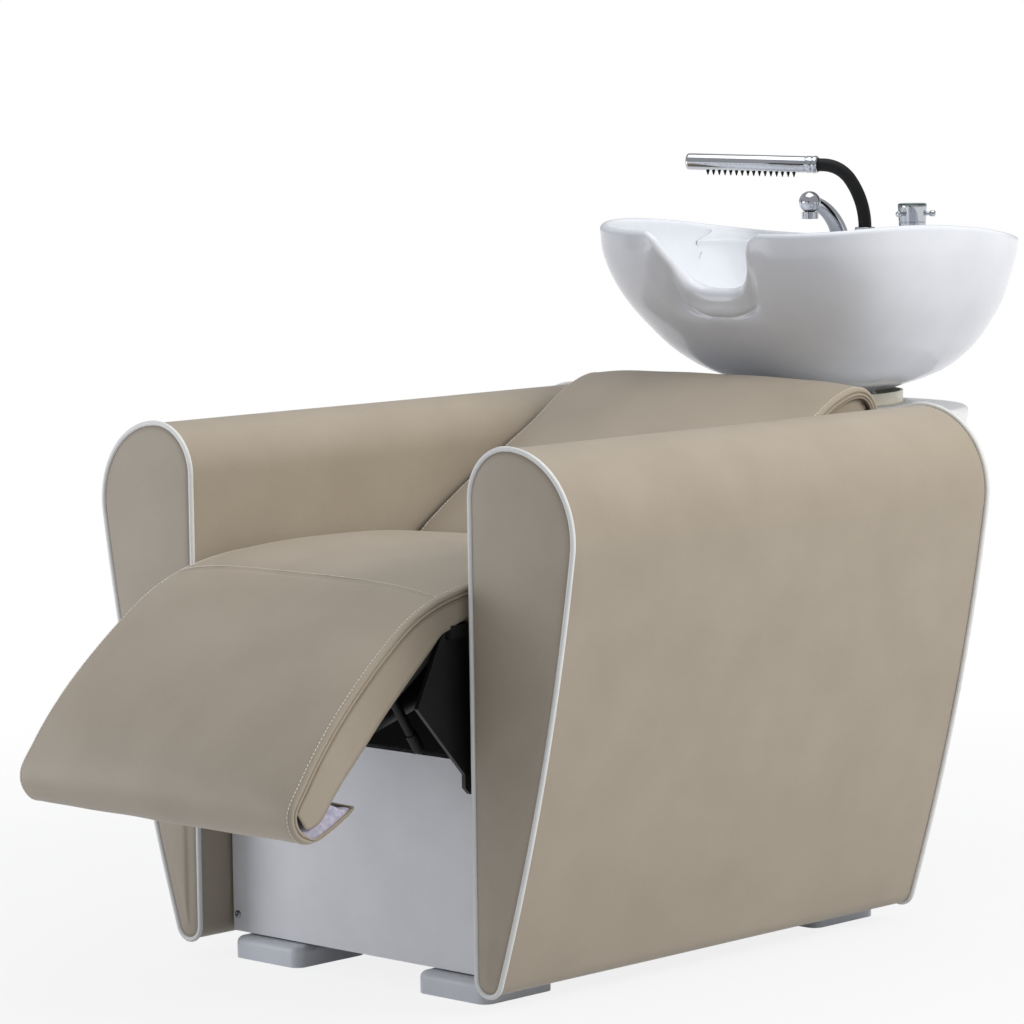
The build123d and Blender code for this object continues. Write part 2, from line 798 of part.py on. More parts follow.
with BuildPart() as actuator_beam:
    beam_front = rear_pin[0] + beam_setback
    box_between(
        (-side_board_inner, beam_front, rear_pin[1] - beam_size / 2),
        (side_board_inner, beam_front + beam_size, rear_pin[1] + beam_size / 2),
    )
    for side in (-1, 1):
        near, far = side * (body_reach + side_gap), side * beam_reach
        with BuildSketch(side_plane(min(near, far))):
            with Locations((rear_pin[0] + beam_setback / 2, rear_pin[1])):
                Rectangle(beam_setback, 2 * actuator_eye_radius)
            with Locations(rear_pin):
                Circle(actuator_eye_radius)
                Circle(actuator_pin_radius, mode=Mode.SUBTRACT)
        extrude(amount=clevis_thickness)
save(actuator_beam, "actuator_beam")

tube_end = closed_length - tube_end_clearance
with BuildPart() as actuator_body:
    rod_between((-body_reach, *rear_pin), (body_reach, *rear_pin), actuator_eye_radius)
    gearbox_plane = Plane(origin=actuator_at(0), x_dir=(1, 0, 0), z_dir=(0, line_y, line_z))
    with BuildSketch(gearbox_plane.offset(gearbox_start)):
        with Locations((motor_offset / 2, 0)):
            RectangleRounded(motor_offset + 2 * gearbox_half, 2 * gearbox_half, gearbox_half / 3)
    extrude(amount=tube_start - gearbox_start)
    with BuildSketch(gearbox_plane):
        Rectangle(body_eye_width, 2 * actuator_eye_radius - body_eye_width / 4)
    extrude(amount=gearbox_start)
    rod_between(actuator_at(tube_start), actuator_at(tube_end), tube_radius)
    motor_end = actuator_at(tube_start + motor_length, motor_offset)
    rod_between(actuator_at(tube_start, motor_offset), motor_end, motor_radius)
    rod_between(
        actuator_at(tube_start), actuator_at(tube_end + cut_over), rod_radius + side_gap, Mode.SUBTRACT
    )
    rod_between(
        (-body_reach - cut_over, *rear_pin), (body_reach + cut_over, *rear_pin),
        actuator_pin_radius + running_gap, Mode.SUBTRACT,
    )
save(actuator_body, "actuator_body")

with BuildPart() as actuator_rod:
    rod_between((-rod_eye_width / 2, *front_pin), (rod_eye_width / 2, *front_pin), actuator_eye_radius)
    rod_between(actuator_at(pin_distance), actuator_at(pin_distance - rod_length), rod_radius)
    rod_between(
        (-rod_eye_width, *front_pin), (rod_eye_width, *front_pin),
        actuator_pin_radius + running_gap, Mode.SUBTRACT,
    )
save(actuator_rod, "actuator_rod")

# Rear cabinet: a thin sheet shroud, open below and towards the bed

cabinet_half_width = 215.0
cabinet_height = 645.0
cabinet_bottom = 60.0
cabinet_top_depth = 327.0  # behind the boards
cabinet_bottom_depth = 102.0
cabinet_top_corner = 140.0
cabinet_bottom_corner = 90.0
cabinet_sheet = 2.0
column_setback = 950.0
column_x_radius = 80.0
column_y_radius = 105.0
sleeve_wall = 3.0
sleeve_bottom = 600.0
sleeve_top = 660.0
sleeve_flange = 12.0
sleeve_flange_height = 3.0
column_y = front + column_setback


def cabinet_section(height, depth, corner, inset=0.0, overrun=0.0):
    """The cabinet's plan at one height: straight in front, with two rounded rear corners."""
    half, end, near = cabinet_half_width - inset, base_rear + depth - inset, base_rear - overrun
    radius = corner - inset
    with BuildSketch(Plane.XY.offset(height)) as section:
        with BuildLine():
            FilletPolyline((-half, near), (-half, end), (half, end), (half, near), radius=radius)
            Line((half, near), (-half, near))
        make_face()
    return section.sketch


slope_share = (cabinet_height - cabinet_sheet - cabinet_bottom + cut_over) / (cabinet_height - cabinet_bottom)
with BuildPart() as rear_cabinet:
    loft([
        cabinet_section(cabinet_bottom, cabinet_bottom_depth, cabinet_bottom_corner),
        cabinet_section(cabinet_height, cabinet_top_depth, cabinet_top_corner),
    ], ruled=True)
    lean = (cabinet_top_depth - cabinet_bottom_depth) / (cabinet_height - cabinet_bottom)
    low, high = cabinet_bottom - cut_over, cabinet_height - cabinet_sheet
    low_depth = cabinet_bottom_depth - cut_over * lean
    high_depth = cabinet_top_depth - cabinet_sheet * lean
    loft([
        cabinet_section(low, low_depth, cabinet_bottom_corner, cabinet_sheet, cut_over),
        cabinet_section(high, high_depth, cabinet_top_corner, cabinet_sheet, cut_over),
    ], ruled=True, mode=Mode.SUBTRACT)
    with BuildSketch(Plane.XY.offset(high - cut_over)):
        with Locations((0, column_y)):
            Ellipse(column_x_radius + soft_gap, column_y_radius + soft_gap)
    extrude(amount=cabinet_sheet + 2 * cut_over, mode=Mode.SUBTRACT)
save(rear_cabinet, "rear_cabinet")

with BuildPart() as column_sleeve:
    with BuildSketch(Plane.XY.offset(sleeve_bottom)):
        with Locations((0, column_y)):
            Ellipse(column_x_radius, column_y_radius)
    extrude(amount=sleeve_top - sleeve_bottom)
    with BuildSketch(Plane.XY.offset(cabinet_height - cabinet_sheet - sleeve_flange_height)):
        with Locations((0, column_y)):
            Ellipse(column_x_radius + sleeve_flange, column_y_radius + sleeve_flange)
    extrude(amount=sleeve_flange_height)
    with BuildSketch(Plane.XY.offset(sleeve_bottom - cut_over)):
        with Locations((0, column_y)):
            Ellipse(column_x_radius - sleeve_wall, column_y_radius - sleeve_wall)
    extrude(amount=sleeve_top - sleeve_bottom + 2 * cut_over, mode=Mode.SUBTRACT)
save(column_sleeve, "column_sleeve")

# Fork under the bowl: a plate on the rear board, two cheeks up to the tilt axis, and a tie between them

tilt_height = 650.0
fork_plate_half_width = 110.0
fork_plate_thickness = 6.0
fork_plate_bottom = 100.0
fork_cheek_inner = 60.0
fork_cheek_thickness = 6.0
fork_eye_radius = 12.0
fork_shelf = 590.0
fork_neck_reach = 42.0
tie_height = 520.0
tie_depth = 120.0
bracket_half_width = 75.0
bracket_length = 90.0
bracket_corner = 20.0
bracket_thickness = 6.0
bracket_ear_thickness = 6.0
tilt_pin_radius = 6.0
drain_clearance_radius = 26.0
bracket_ear_outer = fork_cheek_inner - 2 * side_gap
pipe_radius = 20.0
pipe_bore = 17.5

with BuildPart() as column_fork:
    box_between(
        (-fork_plate_half_width, base_rear, fork_plate_bottom),
        (fork_plate_half_width, base_rear + fork_plate_thickness, rear_board_top),
    )
    for side in (-1, 1):
        near = side * fork_cheek_inner
        far = side * (fork_cheek_inner + fork_cheek_thickness)
        with BuildSketch(side_plane(min(near, far))):
            with BuildLine():
                Polyline(
                    (base_rear, fork_plate_bottom),
                    (base_rear, fork_shelf),
                    (column_y - fork_neck_reach, fork_shelf),
                    (column_y - fork_eye_radius, tilt_height),
                    (column_y + fork_eye_radius, tilt_height),
                    (column_y + fork_neck_reach, fork_shelf),
                    (column_y + fork_neck_reach, tie_height),
                    close=True,
                )
            make_face()
            with Locations((column_y, tilt_height)):
                Circle(fork_eye_radius)
                Circle(tilt_pin_radius, mode=Mode.SUBTRACT)
        extrude(amount=fork_cheek_thickness)
    box_between(
        (-fork_cheek_inner, column_y + fork_neck_reach - tie_depth, tie_height),
        (fork_cheek_inner, column_y + fork_neck_reach, tie_height + fork_plate_thickness),
    )
    tie_hole = (0, column_y, tie_height - cut_over)
    rod_between(tie_hole, (0, column_y, tie_height + cut_over * 2), pipe_radius + side_gap, Mode.SUBTRACT)
save(column_fork, "column_fork")

with BuildPart() as tilt_pins:
    for side in (-1, 1):
        inner = side * (bracket_ear_outer - bracket_ear_thickness - side_gap)
        outer = side * (fork_cheek_inner + fork_cheek_thickness)
        rod_between((inner, column_y, tilt_height), (outer, column_y, tilt_height), tilt_pin_radius)
        head = side * (fork_cheek_inner + fork_cheek_thickness + hinge_head_height)
        rod_between((outer, column_y, tilt_height), (head, column_y, tilt_height), hinge_head_radius)
save(tilt_pins, "tilt_pins")

with BuildPart() as bowl_bracket:
    bracket_low = bowl_base_height - bracket_thickness
    with BuildSketch(Plane.XY.offset(bracket_low)):
        with Locations((0, column_y)):
            RectangleRounded(2 * bracket_half_width, bracket_length, bracket_corner)
            Circle(drain_clearance_radius, mode=Mode.SUBTRACT)
    extrude(amount=bracket_thickness)
    for side in (-1, 1):
        near, far = side * (bracket_ear_outer - bracket_ear_thickness), side * bracket_ear_outer
        with BuildSketch(side_plane(min(near, far))):
            with Locations((column_y, (tilt_height + bracket_low) / 2)):
                Rectangle(2 * fork_eye_radius, bracket_low - tilt_height)
            with Locations((column_y, tilt_height)):
                Circle(fork_eye_radius)
                Circle(tilt_pin_radius + running_gap, mode=Mode.SUBTRACT)
        extrude(amount=bracket_ear_thickness)
save(bowl_bracket, "bowl_bracket")

# Bowl: egg-shaped sections from a small flat base to a rim that slopes down to the rear

bowl_front = front + bowl_setback
bowl_middle = bowl_front + bowl_length / 2
front_fullness = 3.3
rear_fullness = 2.0
basin_rear_fullness = 3.0
section_points = 24
basin_rear = bowl_middle + basin_rear_length
rim_rise = bowl_rim_height - bowl_base_height

# Height above the base as a share of the rim's, size, and rearward shift as a share of the length
bowl_sections = [
    (0.0, 0.31, 0.05),
    (0.077, 0.5, 0.0445),
    (0.209, 0.683, 0.0365),
    (0.368, 0.807, 0.0275),
    (0.531, 0.895, 0.0155),
    (0.694, 0.951, 0.004),
    (0.855, 0.9885, 0.0),
    (1.0, 1.0, 0.0),
    (1.18, 1.004, 0.0),
]


def egg_section(height, half_width, start, end, rear_power):
    """A closed curve with a full front half and a rounder rear half."""
    middle, half_length = (start + end) / 2, (end - start) / 2
    points = []
    for index in range(section_points):
        angle = radians(360 * index / section_points)
        power = 2 / (rear_power if sin(angle) > 0 else front_fullness)
        across = abs(cos(angle)) ** power * (1 if cos(angle) >= 0 else -1)
        along_share = abs(sin(angle)) ** power * (1 if sin(angle) >= 0 else -1)
        points.append((half_width * across, middle + half_length * along_share))
    with BuildSketch(Plane.XY.offset(height)) as section:
        with BuildLine():
            Spline(*points, periodic=True)
        make_face()
    return section.sketch


outer_sections = []
basin_sections = []
for rise_share, scale_share, shift_share in bowl_sections:
    height = bowl_base_height + rise_share * rim_rise
    centre = bowl_middle + shift_share * bowl_length
    start, end = centre - scale_share * bowl_length / 2, centre + scale_share * bowl_length / 2
    half_width = scale_share * bowl_width / 2
    outer_sections.append(egg_section(height, half_width, start, end, rear_fullness))
    inner_height = height + bowl_floor_thickness * (1 - rise_share)
    inner_end = min(end - bowl_wall_thickness, basin_rear)
    inner_start, inner_half = start + bowl_wall_thickness, half_width - bowl_wall_thickness
    basin_sections.append(egg_section(inner_height, inner_half, inner_start, inner_end, basin_rear_fullness))

drain_radius = 20.0
drain_gap = 0.3

# The rim as seen from the side: a distance behind the arms' front and a height
rim_profile = [
    (630, 881),
    (674, 884),
    (715, 888.5),
    (770, 893),
    (830, 893),
    (911, 887.5),
    (990, 878),
    (1067, 867.5),
    (1125, 861),
    (1178, 857.5),
    (1210, 856.5),
]
rim_waste_height = 990.0
ledge_half_width = 190.0
ledge_setback = 10.0  # behind the basin
ledge_length = 86.0
ledge_corner = 24.0
notch_depth = 120.0
notch_top_height = 925.0  # where the notch's sides would reach its full width
spout_x = -130.0
gland_x = -84.0
tap_setback = 1115.0
tap_y = front + tap_setback
spigot_radius = 8.0
spigot_depth = 12.0

rim_line = [(front + setback, height) for setback, height in rim_profile]
with BuildPart() as bowl:
    loft(outer_sections)
    loft(basin_sections, mode=Mode.SUBTRACT)
    with BuildSketch(side_plane(-bowl_width)):
        with BuildLine():
            Spline(*rim_line)
            Polyline(
                rim_line[-1],
                (rim_line[-1][0], rim_waste_height),
                (rim_line[0][0], rim_waste_height),
                rim_line[0],
            )
        make_face()
    extrude(amount=2 * bowl_width, mode=Mode.SUBTRACT)
    ledge_middle = basin_rear + ledge_setback + ledge_length / 2
    with BuildSketch(Plane.XY.offset(deck_height)):
        with Locations((0, ledge_middle)):
            RectangleRounded(2 * ledge_half_width, ledge_length, ledge_corner)
    extrude(amount=bowl_rim_height - deck_height + cut_over, mode=Mode.SUBTRACT)
    with BuildSketch(front_plane(bowl_front - cut_over)):
        with BuildLine():
            left_top = (-neck_high_half_width, notch_top_height)
            right_top = (neck_high_half_width, notch_top_height)
            FilletPolyline(
                left_top,
                (-neck_low_half_width, neck_bottom_height),
                (neck_low_half_width, neck_bottom_height),
                right_top,
                radius=neck_corner_radius,
            )
            Line(right_top, left_top)
        make_face()
    extrude(amount=-notch_depth, mode=Mode.SUBTRACT)
    rod_between(
        (0, column_y, bowl_base_height - cut_over),
        (0, column_y, bowl_base_height + bowl_floor_thickness + cut_over),
        drain_radius + drain_gap, Mode.SUBTRACT,
    )
    rod_between(
        (spout_x, tap_y, deck_height - spigot_depth), (spout_x, tap_y, deck_height + cut_over),
        spigot_radius + running_gap, Mode.SUBTRACT,
    )
save(bowl, "bowl")

strainer_radius = 30.0
strainer_height = 3.0
strainer_neck_bottom = 640.0
strainer_hole_radius = 2.5
strainer_ring_radius = 11.0
strainer_holes = 8
tail_radius = 24.0
tail_top = 664.0
tail_bottom = 600.0
strainer_low = bowl_base_height + bowl_floor_thickness
with BuildPart() as waste_strainer:
    rod_between((0, column_y, strainer_low), (0, column_y, strainer_low + strainer_height), strainer_radius)
    fillet(faces().sort_by(Axis.Z)[-1].edges(), strainer_height / 2)
    rod_between((0, column_y, strainer_neck_bottom), (0, column_y, strainer_low), drain_radius)
    bore_low = (0, column_y, strainer_neck_bottom - cut_over)
    rod_between(bore_low, (0, column_y, strainer_low), pipe_bore, Mode.SUBTRACT)
    with BuildSketch(Plane.XY.offset(strainer_low - cut_over)):
        with Locations((0, column_y)):
            Circle(strainer_hole_radius)
            with PolarLocations(strainer_ring_radius, strainer_holes):
                Circle(strainer_hole_radius)
    extrude(amount=strainer_height + 2 * cut_over, mode=Mode.SUBTRACT)
save(waste_strainer, "waste_strainer")

with BuildPart() as waste_tail:
    rod_between((0, column_y, tail_bottom), (0, column_y, tail_top), tail_radius)
    rod_between((0, column_y, tail_bottom - cut_over), (0, column_y, tail_top + cut_over), drain_radius, Mode.SUBTRACT)
save(waste_tail, "waste_tail")

# Fixed waste: an open funnel on the tie, and a pipe that runs forward and down to the floor

funnel_radius = 38.0
funnel_bore = 35.0
funnel_top = 610.0
funnel_floor = 4.0
waste_bend_drop = 60.0  # below the funnel's floor
waste_run_gap = 52.0  # behind the boards
waste_run_height = 300.0
waste_bottom = 80.0
waste_bend_radius = 70.0
funnel_low = tie_height + fork_plate_thickness
waste_run_y = base_rear + waste_run_gap
waste_bend = funnel_low + funnel_floor - waste_bend_drop
with BuildPart() as waste_outlet:
    rod_between((0, column_y, funnel_low), (0, column_y, funnel_top), funnel_radius)
    with BuildLine(side_plane(0)) as waste_path:
        FilletPolyline(
            (column_y, funnel_low + funnel_floor),
            (column_y, waste_bend),
            (waste_run_y, waste_run_height),
            (waste_run_y, waste_bottom),
            radius=waste_bend_radius,
        )
    with BuildSketch(Plane.XY.offset(funnel_low + funnel_floor)) as waste_section:
        with Locations((0, column_y)):
            Circle(pipe_radius)
    sweep(waste_section.sketch, path=waste_path.wire())
    rod_between(
        (0, column_y, funnel_low + funnel_floor), (0, column_y, funnel_top + cut_over), funnel_bore, Mode.SUBTRACT
    )
    with BuildSketch(Plane.XY.offset(funnel_low + funnel_floor)) as waste_hole:
        with Locations((0, column_y)):
            Circle(pipe_bore)
    sweep(waste_hole.sketch, path=waste_path.wire(), mode=Mode.SUBTRACT)
save(waste_outlet, "waste_outlet")

# Water inlets: elbows on the rear board, each with its thread pointing down
inlet_x = 150.0
inlet_height = 180.0
inlet_radius = 10.4
inlet_bore = 7.5
inlet_flange_radius = 18.0
inlet_flange_height = 8.0
inlet_reach = 40.0
inlet_collar_radius = 13.0
inlet_collar_length = 14.0
inlet_thread_length = 30.0
with BuildPart() as inlet_fittings:
    inlet_y = base_rear + inlet_reach
    inlet_low = inlet_height - inlet_collar_length - inlet_thread_length
    for side in (-1, 1):
        x = side * inlet_x
        bend = (x, inlet_y, inlet_height)
        flange_face = (x, base_rear + inlet_flange_height, inlet_height)
        rod_between((x, base_rear, inlet_height), flange_face, inlet_flange_radius)
        rod_between(flange_face, bend, inlet_radius)
        with Locations(bend):
            Sphere(inlet_collar_radius)
        rod_between(bend, (x, inlet_y, inlet_height - inlet_collar_length), inlet_collar_radius)
        rod_between(bend, (x, inlet_y, inlet_low), inlet_radius)
        rod_between(flange_face, bend, inlet_bore, Mode.SUBTRACT)
        rod_between(bend, (x, inlet_y, inlet_low - cut_over), inlet_bore, Mode.SUBTRACT)
save(inlet_fittings, "inlet_fittings")

# Taps on the deck: swivel spout, mixer, and the hose with its spray bar

spout_foot_radius = 14.0
spout_foot_height = 6.0
spout_root_radius = 12.0
spout_tip_radius = 9.0
spout_reach = 63.0
spout_rise = 46.0
spout_lean = 25.0
ball_radius = 15.0
aerator_radius = 11.5
aerator_drop = 23.0
aerator_top_drop = 13.5
aerator_bore = 8.0
aerator_bore_depth = 5.0
spout_low = deck_height + side_gap
spigot_low = deck_height - spigot_depth + side_gap
spout_root = deck_height + spout_foot_height
ball_y, ball_height = tap_y - spout_reach, spout_root + spout_rise
with BuildPart() as spout:
    rod_between((spout_x, tap_y, spout_low), (spout_x, tap_y, spout_root), spout_foot_radius)
    fillet(faces().sort_by(Axis.Z)[-1].edges(), spout_foot_height / 4)
    with BuildLine(side_plane(spout_x)) as spout_path:
        root_point, tip_point = (tap_y, spout_root), (ball_y, ball_height)
        chord_lean = atan2(spout_reach, spout_rise)
        bulge = hypot(spout_reach, spout_rise) / 2 * tan((chord_lean - radians(spout_lean)) / 2)
        bulge_point = (
            (root_point[0] + tip_point[0]) / 2 + bulge * cos(chord_lean),
            (root_point[1] + tip_point[1]) / 2 + bulge * sin(chord_lean),
        )
        ThreePointArc(root_point, bulge_point, tip_point)
    spout_wire = spout_path.wire()
    with BuildSketch(Plane(origin=spout_wire @ 0, z_dir=spout_wire % 0)) as root_section:
        Circle(spout_root_radius)
    with BuildSketch(Plane(origin=spout_wire @ 1, z_dir=spout_wire % 1)) as tip_section:
        Circle(spout_tip_radius)
    sweep([root_section.sketch, tip_section.sketch], path=spout_wire, multisection=True)
    with Locations((spout_x, ball_y, ball_height)):
        Sphere(ball_radius)
    box_between(
        (spout_x - 2 * spout_root_radius, tap_y - 2 * spout_root_radius, spout_low - cut_over),
        (spout_x + 2 * spout_root_radius, tap_y + 2 * spout_root_radius, spout_low),
        Mode.SUBTRACT,
    )
    rod_between((spout_x, tap_y, spigot_low), (spout_x, tap_y, spout_low), spigot_radius)
save(spout, "spout")

with BuildPart() as aerator:
    low = ball_height - aerator_drop
    rod_between((spout_x, ball_y, low), (spout_x, ball_y, ball_height - aerator_top_drop), aerator_radius)
    rod_between((spout_x, ball_y, low), (spout_x, ball_y, low + aerator_bore_depth), aerator_bore, Mode.SUBTRACT)
    with Locations((spout_x, ball_y, ball_height)):
        Sphere(ball_radius + soft_gap, mode=Mode.SUBTRACT)
save(aerator, "aerator")

mixer_radius = 20.0
mixer_base_height = 10.0
mixer_gap = 1.0
mixer_knob_height = 37.0
mixer_stem_radius = 12.0
mixer_stem_length = 28.0
mixer_cap_radius = 18.5
mixer_cap_height = 2.0
mixer_pin_radius = 3.7
mixer_pin_reach = 34.0
mixer_pin_height = 25.0
mixer_edge = 1.2
mixer_base_top = deck_height + mixer_base_height
knob_low = mixer_base_top + mixer_gap
knob_top = knob_low + mixer_knob_height
with BuildPart() as mixer_base:
    rod_between((0, tap_y, deck_height), (0, tap_y, mixer_base_top), mixer_radius)
    rod_between((0, tap_y, mixer_base_top), (0, tap_y, mixer_base_top + mixer_stem_length), mixer_stem_radius)
save(mixer_base, "mixer_base")

with BuildPart() as mixer_knob:
    rod_between((0, tap_y, knob_low), (0, tap_y, knob_top), mixer_radius)
    fillet(faces().sort_by(Axis.Z)[-1].edges(), mixer_edge)
    for angle in (30, 150, 270):
        way = (cos(radians(angle)), sin(radians(angle)))
        pin_z = knob_low + mixer_pin_height
        inner = (mixer_radius / 1.5 * way[0], tap_y + mixer_radius / 1.5 * way[1], pin_z)
        tip = (mixer_pin_reach * way[0], tap_y + mixer_pin_reach * way[1], pin_z)
        rod_between(inner, tip, mixer_pin_radius)
        with Locations(tip):
            Sphere(mixer_pin_radius)
    bore_top = mixer_base_top + mixer_stem_length + mixer_gap
    rod_between(
        (0, tap_y, knob_low - cut_over), (0, tap_y, bore_top), mixer_stem_radius + running_gap, Mode.SUBTRACT
    )
save(mixer_knob, "mixer_knob")

with BuildPart() as mixer_cap:
    rod_between((0, tap_y, knob_top), (0, tap_y, knob_top + mixer_cap_height), mixer_cap_radius)
    fillet(faces().sort_by(Axis.Z)[-1].edges(), mixer_cap_height / 2)
save(mixer_cap, "mixer_cap")

gland_radius = 14.0
gland_height = 16.0
gland_floor = 4.0
hose_radius = 9.0
ferrule_radius = 10.0
ferrule_length = 12.0
first_bend_radius = 115.0
first_bend_turn = 35.0
second_bend_radius = 47.0
hose_lead = 7.0
spray_heading = 28.3  # degrees forward of the bed's left side
spray_rise_angle = 1.8
spray_radius = 11.5
spray_length = 193.0
nozzle_count = 16
nozzle_first = 33.0
nozzle_last = 164.0
nozzle_radius = 2.3
nozzle_tip_radius = 1.2
nozzle_length = 6.5
strip_width = 9.0
strip_height = 1.2
gland_top = deck_height + gland_height
with BuildPart() as hose_gland:
    rod_between((gland_x, tap_y, deck_height), (gland_x, tap_y, gland_top), gland_radius)
    fillet(faces().sort_by(Axis.Z)[-1].edges(), mixer_edge)
    rod_between(
        (gland_x, tap_y, deck_height + gland_floor), (gland_x, tap_y, gland_top + cut_over),
        hose_radius + running_gap, Mode.SUBTRACT,
    )
save(hose_gland, "hose_gland")

heading = radians(spray_heading)
spray_way = Vector(-cos(heading), -sin(heading), 0)
hose_low = deck_height + gland_floor + side_gap
hose_plane = Plane(origin=(gland_x, tap_y, hose_low), x_dir=spray_way, z_dir=spray_way.cross(Vector(0, 0, 1)))
last_turn = 90 - first_bend_turn - spray_rise_angle
with BuildLine(hose_plane) as hose_path:
    upright = Line((0, 0), (0, gland_top - hose_low))
    first_bend = JernArc(upright @ 1, upright % 1, first_bend_radius, -first_bend_turn)
    second_bend = JernArc(first_bend @ 1, first_bend % 1, second_bend_radius, -last_turn)
    Line(second_bend @ 1, second_bend @ 1 + (second_bend % 1) * hose_lead)
hose_wire = hose_path.wire()
hose_end, spray_axis = hose_wire @ 1, hose_wire % 1
with BuildPart() as hose:
    with BuildSketch(Plane(origin=hose_wire @ 0, z_dir=hose_wire % 0)) as hose_section:
        Circle(hose_radius)
    sweep(hose_section.sketch, path=hose_wire)
    rod_between(tuple(hose_end), tuple(hose_end + spray_axis * ferrule_length), ferrule_radius)
save(hose, "hose")


def spray_at(distance, below=0.0):
    """A point along the spray bar's axis, or straight below it."""
    down = spray_plane_down * below
    return tuple(hose_end + spray_axis * distance + down)


side_way = spray_axis.cross(Vector(0, 0, 1)).normalized()
spray_plane_down = spray_axis.cross(side_way).normalized()
if spray_plane_down.Z > 0:
    spray_plane_down = spray_plane_down * -1

spray_start = side_gap
with BuildPart() as spray_bar:
    rod_between(spray_at(spray_start), spray_at(spray_length - spray_radius), spray_radius)
    with Locations(spray_at(spray_length - spray_radius)):
        Sphere(spray_radius)
    rod_between(
        spray_at(-cut_over), spray_at(ferrule_length + side_gap), ferrule_radius + running_gap, Mode.SUBTRACT
    )
save(spray_bar, "spray_bar")

nozzle_spacing = (nozzle_last - nozzle_first) / (nozzle_count - 1)
with BuildPart() as spray_nozzles:
    strip_plane = Plane(
        origin=spray_at((nozzle_first + nozzle_last) / 2), x_dir=spray_axis, z_dir=spray_plane_down
    )
    strip_length = nozzle_last - nozzle_first + 2 * nozzle_spacing
    with BuildSketch(strip_plane) as strip:
        RectangleRounded(strip_length, strip_width, strip_width / 2.2)
    extrude(strip.sketch, amount=spray_radius + strip_height)
    rod_between(spray_at(nozzle_first - 2 * nozzle_spacing), spray_at(nozzle_last + 2 * nozzle_spacing),
                spray_radius, Mode.SUBTRACT)
    for index in range(nozzle_count):
        place = spray_at(nozzle_first + index * nozzle_spacing, spray_radius + strip_height / 2)
        with Locations(Plane(origin=place, z_dir=spray_plane_down)):
            Cone(nozzle_radius, nozzle_tip_radius, nozzle_length, align=(Align.CENTER, Align.CENTER, Align.MIN))
save(spray_nozzles, "spray_nozzles")
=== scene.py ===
# %% [markdown]
# # Dressing a hair washing bed
# The bed stands in a salon: two padded arms, a seat whose leg rest swings up, a reclined back and a ceramic
# basin that tilts under the neck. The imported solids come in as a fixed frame, so every new piece is made
# in the place where its solid is, and only the looks are this script's work.

# %% Load the frame
import json
import math

import bmesh
import bpy
import numpy as np
from mathutils import Matrix, Vector

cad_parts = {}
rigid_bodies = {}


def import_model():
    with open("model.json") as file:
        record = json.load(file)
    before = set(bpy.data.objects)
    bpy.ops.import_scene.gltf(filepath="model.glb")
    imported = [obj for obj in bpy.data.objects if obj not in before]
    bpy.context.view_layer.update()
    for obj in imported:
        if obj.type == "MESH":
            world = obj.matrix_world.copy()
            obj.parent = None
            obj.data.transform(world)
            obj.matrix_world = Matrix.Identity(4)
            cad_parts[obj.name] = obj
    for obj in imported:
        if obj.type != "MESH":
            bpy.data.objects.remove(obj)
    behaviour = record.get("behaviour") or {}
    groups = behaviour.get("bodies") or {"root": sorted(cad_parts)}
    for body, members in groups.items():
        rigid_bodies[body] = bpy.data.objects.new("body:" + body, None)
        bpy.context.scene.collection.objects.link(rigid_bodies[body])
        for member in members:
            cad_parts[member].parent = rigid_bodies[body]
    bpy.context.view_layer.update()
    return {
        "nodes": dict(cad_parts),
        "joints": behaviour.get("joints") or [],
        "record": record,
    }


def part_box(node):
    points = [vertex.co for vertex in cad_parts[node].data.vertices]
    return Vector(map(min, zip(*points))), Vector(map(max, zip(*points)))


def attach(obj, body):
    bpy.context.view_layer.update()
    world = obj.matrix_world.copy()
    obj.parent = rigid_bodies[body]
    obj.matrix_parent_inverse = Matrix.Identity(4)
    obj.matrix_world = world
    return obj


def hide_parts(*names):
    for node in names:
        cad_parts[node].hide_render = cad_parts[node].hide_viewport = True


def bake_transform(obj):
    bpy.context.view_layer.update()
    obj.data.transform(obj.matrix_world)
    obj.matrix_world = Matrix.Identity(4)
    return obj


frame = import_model()
MM = 0.001

# %% [markdown]
# Upholsterers and sanitary makers think in millimetres, so the script does too, and only the last step into
# a mesh turns them into metres. The few fixed lines that everything is measured from are read from the frame:
# the arms' front faces and the hinge of the leg rest.

# %% Lines to measure from


def span(node):
    """The lowest and the highest corner of a solid, in millimetres."""
    low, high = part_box(node)
    return np.array(low) / MM, np.array(high) / MM


def joint_place(name):
    """Where a joint is, in millimetres."""
    return np.array(next(j for j in frame["joints"] if j["name"] == name)["pos_m"]) / MM


front, rear = span("right_arm_piping")[0][1], span("right_arm_piping")[1][1]
hinge_y, hinge_z = joint_place("legrest_tilt")[1:]
print(f"arms from Y {front:.1f} to {rear:.1f}, hinge at Y {hinge_y:.1f} Z {hinge_z:.1f}")

# %% [markdown]
# ## Camera
# The view is a long lens from about six metres, a little above the arms, turned 44 degrees round the front
# corner. Three directions say it fully, so the camera's matrix is written from them.

# %% Camera
camera_data = bpy.data.cameras.new("view_camera")
camera_data.lens, camera_data.sensor_width = 157.34, 36.0
camera = bpy.data.objects.new("view_camera", camera_data)
view_right = Vector((0.71655, 0.69738, -0.01441)).normalized()
view_forward = Vector((-0.69471, 0.71165, -0.10453)).normalized()
view_up = view_right.cross(view_forward).normalized()
camera.matrix_world = Matrix.Translation((3.88898, -4.107495, 1.1349)) @ Matrix(
    (view_right, view_up, -view_forward)
).transposed().to_4x4()
bpy.context.scene.collection.objects.link(camera)
bpy.context.scene.camera = camera
bpy.context.scene.view_settings.view_transform = "Standard"
print("lens", camera_data.lens, "mm")

# %% [markdown]
# ## Colours and nodes
# A colour is written as a maker's swatch, in sRGB hex, and turned to linear light in one place. One function
# adds a node with its settings and what feeds its sockets, and every tree below is built with it.

# %% Colour and node helpers


